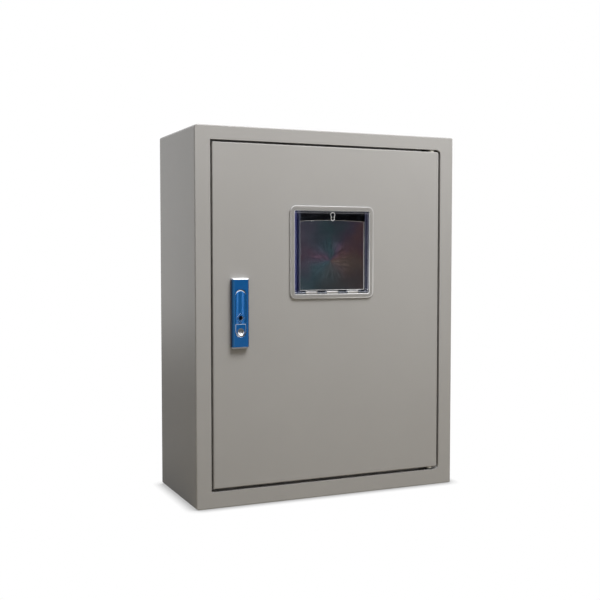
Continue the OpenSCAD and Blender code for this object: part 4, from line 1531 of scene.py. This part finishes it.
@dataclass
class Handle:
    """The push handle: housing, blue skins, lever, lock and button.

    Attributes:
        shop: The workshop that finishes the pieces.
        edge: Rounding of the metal edges.
        skin_edge: Rounding of the skins' edges.
        lip: Rounding of the button's outline.
        foot: Radius of the button's round foot, as a share of its width.
        dish_radius: Radius of the thumb dish.
        dish_depth: Depth of the dish.
        dish_margin: Distance from the dish to the button's foot.
        dish_rings: Rings of facets in the dish.
        lock_ring: Width of the blue ring round the core.
        painted_highlight_out: How far out the normal of a lever's face must look to get the painted
            highlight of its head slope.
        painted_highlight_up: How far up it must look too.
    """

    shop: Workshop
    edge: float = 0.00022
    skin_edge: float = 0.00012
    lip: float = 0.0004
    foot: float = 0.499
    dish_radius: float = 0.0056
    dish_depth: float = 0.0021
    dish_margin: float = 0.0006
    dish_rings: int = 6
    lock_ring: float = 0.0016
    painted_highlight_out: float = 0.4
    painted_highlight_up: float = 0.2

    def build(self) -> None:
        """Builds every piece of the handle."""
        self.shop.rounded("housing", "handle_housing", Body.DOOR, "satin_chrome", self.edge)
        # The blue skins carry bands of painted shade and painted highlight.
        self.shop.rounded("housing_skin", "handle_face", Body.DOOR, "blue_skin", self.skin_edge)
        self.build_lever()
        self.shop.rounded("lever_skin", "lever_face", Body.LEVER, "lever_blue", self.skin_edge)
        self.build_button()
        self.build_lock()
        # The core's near-black steel is painted shade for its recess.
        self.shop.rounded("key_core", "lock_core", Body.CORE, "dark_core", self.edge)

    def build_lever(self) -> None:
        """Builds the lever, with a painted highlight that glows on the slope round its head above the
        hollow.
        """
        shape = self.shop.carried("lever")
        for f in shape.faces:
            f.material_index = 1 if f.normal.y < -self.painted_highlight_out and f.normal.z > self.painted_highlight_up else 0
        soften(shape, self.edge)
        self.shop.piece("pull_lever", shape, Body.LEVER, ["satin_chrome", "painted_highlight_rim"], ["lever"], "chrome")

    def build_lock(self) -> None:
        """Builds the diamond-shaped lock plate, pale with a painted-highlight glow, and a blue ring round
        the core.
        """
        shape = self.shop.carried("lock_barrel")
        front = min(v.co.y for v in shape.verts)
        low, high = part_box("lock_core")
        middle = (low + high) / 2.0
        reach = (high.x - low.x) / 2.0 + self.lock_ring
        for f in shape.faces:
            x, y, z = f.calc_center_median()
            if abs(y - front) < CARRIED_SLACK and math.hypot(x - middle.x, z - middle.z) < reach:
                f.material_index = 1
        soften(shape, self.skin_edge)
        self.shop.piece(
            "lock_plate", shape, Body.LEVER, ["pale_painted_highlight", "lever_blue"], ["lock_barrel"], "chrome"
        )

    def build_button(self) -> None:
        """Builds the button: a blue face with a straight top and a round foot, and a bright thumb dish."""
        low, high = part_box("push_button")
        face_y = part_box("button_skin")[0].y
        width = high.x - low.x
        shape = bmesh.new()
        face = sheet_face(shape, width, high.z - low.z, 0.0, face_y)
        feet = [v for v in face.verts if v.co.z < 0.0]
        bevel(shape, feet, self.foot * width, segments=14, affect="VERTICES")
        rim = list(shape.edges)
        bmesh.ops.delete(shape, geom=list(shape.faces), context="FACES_ONLY")
        ring = bmesh.ops.create_circle(shape, cap_ends=True, segments=36, radius=self.dish_radius)["verts"]
        bmesh.ops.rotate(shape, verts=ring, matrix=UPRIGHT)
        foot = min(v.co.z for e in rim for v in e.verts)
        bmesh.ops.translate(shape, verts=ring, vec=(0.0, face_y, foot + self.dish_radius + self.dish_margin))
        dish = ring[0].link_faces[0]
        bmesh.ops.bridge_loops(shape, edges=rim + list(dish.edges))
        self.sink_dish(shape, dish)
        walls = bmesh.ops.extrude_edge_only(shape, edges=rim)["geom"]
        back = [v for v in walls if isinstance(v, Vert)]
        bmesh.ops.translate(shape, verts=back, vec=(0.0, high.y - face_y, 0.0))
        back_rim = [e for e in walls if isinstance(e, Edge) and all(v in back for v in e.verts)]
        bmesh.ops.edgeloop_fill(shape, edges=back_rim)
        outward(shape)
        outline = [e for e in shape.edges if (e in walls or e in rim) and level(e.verts, Y, face_y)]
        for f in shape.faces:
            f.material_index = 1 if abs(mean_of(f, Y) - face_y) < SLACK else 0
        # The lip round the button's face takes the pale glow, a painted highlight.
        for made in bevel(shape, outline, self.lip, segments=2):
            made.material_index = 2
        middle = ((low.x + high.x) / 2.0, 0.0, (low.z + high.z) / 2.0)
        bmesh.ops.translate(shape, verts=shape.verts, vec=middle)
        self.shop.piece(
            "thumb_button", shape, Body.BUTTON, ["chrome", "blue_skin", "pale_painted_highlight"],
            ["push_button", "button_skin"],
        )

    def sink_dish(self, shape: Shape, dish: Face) -> None:
        """Sinks a round face into a shallow bowl, ring by ring.

        Args:
            shape: The button's mesh.
            dish: The face.
        """
        ball = (self.dish_radius ** 2 + self.dish_depth ** 2) / (2.0 * self.dish_depth)
        depth = 0.0
        for number in range(1, self.dish_rings):
            bmesh.ops.inset_region(
                shape, faces=[dish], thickness=self.dish_radius / self.dish_rings, use_even_offset=True,
                use_boundary=True,
            )
            reach = self.dish_radius * (1.0 - number / self.dish_rings)
            target = math.sqrt(ball ** 2 - reach ** 2) - (ball - self.dish_depth)
            bmesh.ops.translate(shape, verts=list(dish.verts), vec=(0.0, target - depth, 0.0))
            depth = target


# ---------------------------------------------------------------- hardware


@dataclass(frozen=True)
class Fitting:
    """One carried-over fitting that is shown with its edges rounded.

    Attributes:
        node: The node that it stands for.
        body: The body that it rides on.
        finish: Its finish.
        edge: Width of the rounding.
    """

    node: str
    body: Body
    finish: str
    edge: float


FITTINGS = (
    Fitting("plate_rear_nuts", Body.CABINET, "zinc_steel", 0.0004),
    Fitting("plate_washers", Body.CABINET, "zinc_steel", 0.0002),
    Fitting("plate_front_nuts", Body.CABINET, "zinc_steel", 0.0004),
    Fitting("earth_nut", Body.CABINET, "zinc_steel", 0.0004),
    Fitting("hinge_bracket_upper", Body.CABINET, "zinc_steel", 0.0003),
    Fitting("hinge_bracket_lower", Body.CABINET, "zinc_steel", 0.0003),
    Fitting("hinge_pin_upper", Body.CABINET, "dull_zinc", 0.0002),
    Fitting("hinge_pin_lower", Body.CABINET, "dull_zinc", 0.0002),
    Fitting("hinge_washer", Body.CABINET, "dull_zinc", 0.0002),
    Fitting("strike_plate", Body.CABINET, "zinc_steel", 0.0003),
    Fitting("hinge_bush_upper", Body.DOOR, "nylon", 0.0003),
    Fitting("hinge_bush_lower", Body.DOOR, "nylon", 0.0003),
    Fitting("door_earth_nut", Body.DOOR, "zinc_steel", 0.0004),
    Fitting("handle_clamp", Body.DOOR, "galvanised", 0.0003),
    Fitting("handle_screws", Body.DOOR, "zinc_steel", 0.0003),
    Fitting("window_clips", Body.DOOR, "zinc_steel", 0.0002),
    Fitting("latch_spindle", Body.LATCH, "zinc_steel", 0.0003),
    Fitting("latch_cam", Body.LATCH, "zinc_steel", 0.0003),
    Fitting("latch_washer", Body.LATCH, "zinc_steel", 0.0002),
    Fitting("latch_nut", Body.LATCH, "zinc_steel", 0.0003),
)


@dataclass
class Hardware:
    """Studs, nuts, brackets, pins, latch and clips.

    Attributes:
        shop: The workshop that finishes the pieces.
    """

    shop: Workshop

    def build(self) -> None:
        """Builds every fitting and the threaded studs."""
        for fitting in FITTINGS:
            name = "made_" + fitting.node
            self.shop.rounded(name, fitting.node, fitting.body, fitting.finish, fitting.edge)
        self.build_studs("threaded_studs", "plate_studs", Body.CABINET)
        self.build_studs("body_earth_thread", "earth_stud", Body.CABINET)
        self.build_studs("door_earth_thread", "door_earth_stud", Body.DOOR)

    def build_studs(self, name: str, node: str, body: Body) -> None:
        """Builds a threaded stud in the place of each solid of a node.

        Args:
            name: The piece's name.
            node: The node with the plain studs.
            body: The body that they ride on.
        """
        shape = bmesh.new()
        for low, high in self.shop.solids(node):
            threaded_bar(shape, (high.x - low.x) / 2.0, low, high)
        outward(shape)
        self.shop.piece(name, shape, body, ["zinc_steel"], [node], smooth=20.0)


# ---------------------------------------------------------------- studio


@dataclass(frozen=True)
class Screen:
    """A dark screen out of view, which gives glass and chrome something to show.

    Attributes:
        name: The screen's name.
        half: Half its width and half its height.
        turn: Its turn about the vertical, in degrees.
        place: Where its middle stands, along X and Y.
    """

    name: str
    half: Tuple[float, float]
    turn: float
    place: Tuple[float, float]


@dataclass(frozen=True)
class Lamp:
    """An area lamp.

    Attributes:
        name: The lamp's name.
        place: Where it stands, in metres.
        aim: The point that it faces.
        size: Its width and height, in metres.
        power: Power in watts.
        mirrored: Whether glossy surfaces show the lamp.
    """

    name: str
    place: Tuple[float, float, float]
    aim: Tuple[float, float, float]
    size: Tuple[float, float]
    power: float
    mirrored: bool = True


HANDLE_AIM = (-0.16, -0.2, 0.0)
SCREENS = (
    Screen("front_screen", (4.5, 0.8), 0.0, (1.2, -3.2)),
    Screen("side_screen", (2.4, 0.22), 90.0, (-2.6, 0.9)),
)
LAMPS = (
    Lamp("above", (0.25, -1.0, 1.5), (0.0, -0.15, 0.1), (1.0, 0.75), 34.5),
    Lamp("strip_left", (0.19, -2.67, 0.40), HANDLE_AIM, (0.25, 1.3), 2.5),
    Lamp("strip_right", (1.36, -2.20, 0.40), HANDLE_AIM, (0.2, 1.3), 2.0),
    Lamp("behind", (0.9, 1.9, 1.1), (0.0, 0.0, 0.0), (1.0, 0.8), 14.0, mirrored=False),
)


@dataclass
class Studio:
    """Camera, floor, screens and lights.

    Attributes:
        floor_z: Height of the floor.
        camera_place: Where the camera stands, in metres.
        yaw: Camera's turn to the right of +Y, in degrees.
        pitch: Camera's tilt above the horizon, in degrees.
        lens: Focal length on a 36 mm sensor.
        floor_half: Half the floor's side.
        floor_colour: Colour that the floor sends up to the object.
        contact: Reach of the shadow that the object's foot leaves on the floor.
        contact_open: Share of open sky below which the shadow is full.
        contact_white: Brightness of the full shadow.
        glow_reach: Distances over which the floor's mirror image brightens.
        glow_range: Its brightness near the object and far from it.
        glow_depth: Where it brightens from the front to the back, along Y.
        glow_front: Its share in front of that.
        lift: How far the screens stand off the floor.
        world_colour: Colour of the light from all round.
        world_strength: Strength of that light.
    """

    floor_z: float
    camera_place: Tuple[float, float, float] = (-0.6841, -1.6172, 0.1049)
    yaw: float = 23.83
    pitch: float = -2.90
    lens: float = 57.73
    floor_half: float = 8.0
    floor_colour: Colour = (0.34, 0.295, 0.21)
    contact: float = 0.02
    contact_open: float = 0.5
    contact_white: float = 0.5
    glow_reach: Tuple[float, float] = (0.7, 5.0)
    glow_range: Tuple[float, float] = (0.30, 0.95)
    glow_depth: Tuple[float, float] = (-0.5, 0.3)
    glow_front: float = 0.4
    lift: float = 0.03
    world_colour: Colour = (0.95, 0.96, 1.0)
    world_strength: float = 0.36

    def build(self) -> None:
        """Makes the camera, world, floor, screens and lamps."""
        self.make_camera()
        self.make_world()
        self.make_floor()
        for screen in SCREENS:
            self.make_screen(screen)
        for lamp in LAMPS:
            self.make_lamp(lamp)

    def make_camera(self) -> None:
        """Makes the camera and sets it as the scene's."""
        data = bpy.data.cameras.new("camera")
        data.sensor_width = 36.0
        data.lens = self.lens
        data.clip_end = 50.0
        yaw, pitch = math.radians(self.yaw), math.radians(self.pitch)
        aim = Vector((math.sin(yaw) * math.cos(pitch), math.cos(yaw) * math.cos(pitch), math.sin(pitch)))
        bpy.context.scene.camera = self.place_object("camera", data, self.camera_place, aim)

    def place_object(
        self, name: str, data: bpy.types.ID, place: Sequence[float], aim: Vector
    ) -> bpy.types.Object:
        """Makes an object for a camera or lamp at a place, looking along a direction.

        Args:
            name: The object's name.
            data: The camera or lamp.
            place: Where it stands.
            aim: The direction that it looks along.

        Returns:
            The object.
        """
        made = bpy.data.objects.new(name, data)
        made.location = place
        made.rotation_mode = "QUATERNION"
        made.rotation_quaternion = aim.to_track_quat("-Z", "Y")
        bpy.context.scene.collection.objects.link(made)
        return made

    def make_world(self) -> None:
        """Makes a world that is white to the eye and a soft grey to the object."""
        world = bpy.data.worlds.new("studio")
        world.use_nodes = True
        graph = Graph(world.node_tree)
        shine = graph.tree.nodes["Background"]
        graph.fill(shine, Color=(*self.world_colour, 1.0), Strength=self.world_strength)
        white = graph.add("Background", Color=(1.0, 1.0, 1.0, 1.0), Strength=1.0)
        mix = graph.mix_shaders(graph.rays("Camera", "Transmission", "Glossy"), shine, white)
        graph.fill(graph.tree.nodes["World Output"], Surface=mix.outputs[0])
        bpy.context.scene.world = world

    def staged(self, name: str, shape: Shape, material: bpy.types.Material) -> bpy.types.Object:
        """Makes a stage object.

        Args:
            name: The object's name.
            shape: Its mesh, which is freed here.
            material: Its material.

        Returns:
            The object.
        """
        made = bpy.data.objects.new(name, bpy.data.meshes.new(name))
        bpy.context.scene.collection.objects.link(made)
        made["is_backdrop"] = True
        shape.to_mesh(made.data)
        shape.free()
        made.data.materials.append(material)
        return made

    def square(self, half: float) -> Shape:
        """Makes a flat square.

        Args:
            half: Half its side.

        Returns:
            The mesh.
        """
        shape = bmesh.new()
        bmesh.ops.create_grid(shape, x_segments=2, y_segments=2, size=half)
        return shape

    def make_floor(self) -> None:
        """Makes the floor, which shows white but for the shadow at the object's foot."""
        shape = self.square(self.floor_half)
        bmesh.ops.translate(shape, verts=shape.verts, vec=(0.0, 0.0, self.floor_z))
        material, graph = node_material("floor")
        graph.tree.nodes.remove(graph.shader)
        matt = graph.add("BsdfDiffuse", Color=(*self.floor_colour, 1.0))
        contact = graph.add("AmbientOcclusion", samples=8, Distance=self.contact)
        shadow = graph.remap(contact.outputs["AO"], self.contact_open, 1.0, to_low=self.contact_white)
        white = graph.add("Emission", Strength=shadow)
        dim = graph.add("Emission", Strength=self.floor_glow(graph))
        plain = graph.mix_shaders(graph.rays("Glossy"), matt, dim)
        mix = graph.mix_shaders(graph.rays("Camera", "Transmission"), plain, white)
        graph.fill(graph.tree.nodes["Material Output"], Surface=mix.outputs[0])
        self.staged("floor", shape, material)

    def floor_glow(self, graph: Graph) -> Socket:
        """Adds the floor's brightness in reflections, which grows with the distance from the object.

        Args:
            graph: The floor's graph.

        Returns:
            The brightness.
        """
        place = graph.place()
        parts = graph.add("SeparateXYZ", Vector=place)
        behind = graph.remap(parts.outputs["Y"], *self.glow_depth, to_low=self.glow_front)
        glow = graph.remap(graph.length(place), *self.glow_reach, *self.glow_range, smooth=True)
        return graph.calc("MULTIPLY", glow, behind)

    def make_screen(self, screen: Screen) -> None:
        """Makes a dark screen that only reflections show.

        Args:
            screen: The screen.
        """
        shape = self.square(1.0)
        width, height = screen.half
        turn = Matrix.Rotation(math.radians(screen.turn), 3, "Z")
        bmesh.ops.scale(shape, verts=shape.verts, vec=(width, height, 1.0))
        bmesh.ops.rotate(shape, verts=shape.verts, matrix=UPRIGHT)
        bmesh.ops.rotate(shape, verts=shape.verts, matrix=turn)
        bmesh.ops.translate(shape, verts=shape.verts, vec=(*screen.place, self.floor_z + self.lift + height))
        material, graph = node_material(screen.name)
        graph.fill(graph.shader, Base_Color=(0.03, 0.03, 0.035, 1.0), Roughness=0.9)
        self.staged(screen.name, shape, material).visible_camera = False

    def make_lamp(self, lamp: Lamp) -> None:
        """Makes an area lamp that the camera doesn't see.

        Args:
            lamp: The lamp.
        """
        data = bpy.data.lights.new(lamp.name, "AREA")
        data.shape = "RECTANGLE"
        data.size, data.size_y = lamp.size
        data.energy = lamp.power
        made = self.place_object(lamp.name, data, lamp.place, Vector(lamp.aim) - Vector(lamp.place))
        made.visible_camera = False
        made.visible_glossy = lamp.mirrored


def dress_nodes(palette: Palette) -> None:
    """Gives every carried-over node the material of its slot.

    Args:
        palette: The palette that holds the materials.
    """
    for name, node in frame["nodes"].items():
        node.data.materials.clear()
        node.data.materials.append(palette.get(slot_of(name)))


def main() -> None:
    """Builds the studio and dresses the enclosure."""
    logging.basicConfig(level=logging.INFO, format="%(name)s: %(message)s")
    cad_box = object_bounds()
    bpy.context.scene.view_settings.view_transform = "Standard"
    Studio(floor_z=cad_box[0].z).build()
    palette = Palette()
    dress_nodes(palette)
    shop = Workshop(palette)
    Enclosure(shop).build()
    Window(shop).build()
    Handle(shop).build()
    Hardware(shop).build()
    bpy.context.view_layer.update()


if __name__ == "__main__":
    main()
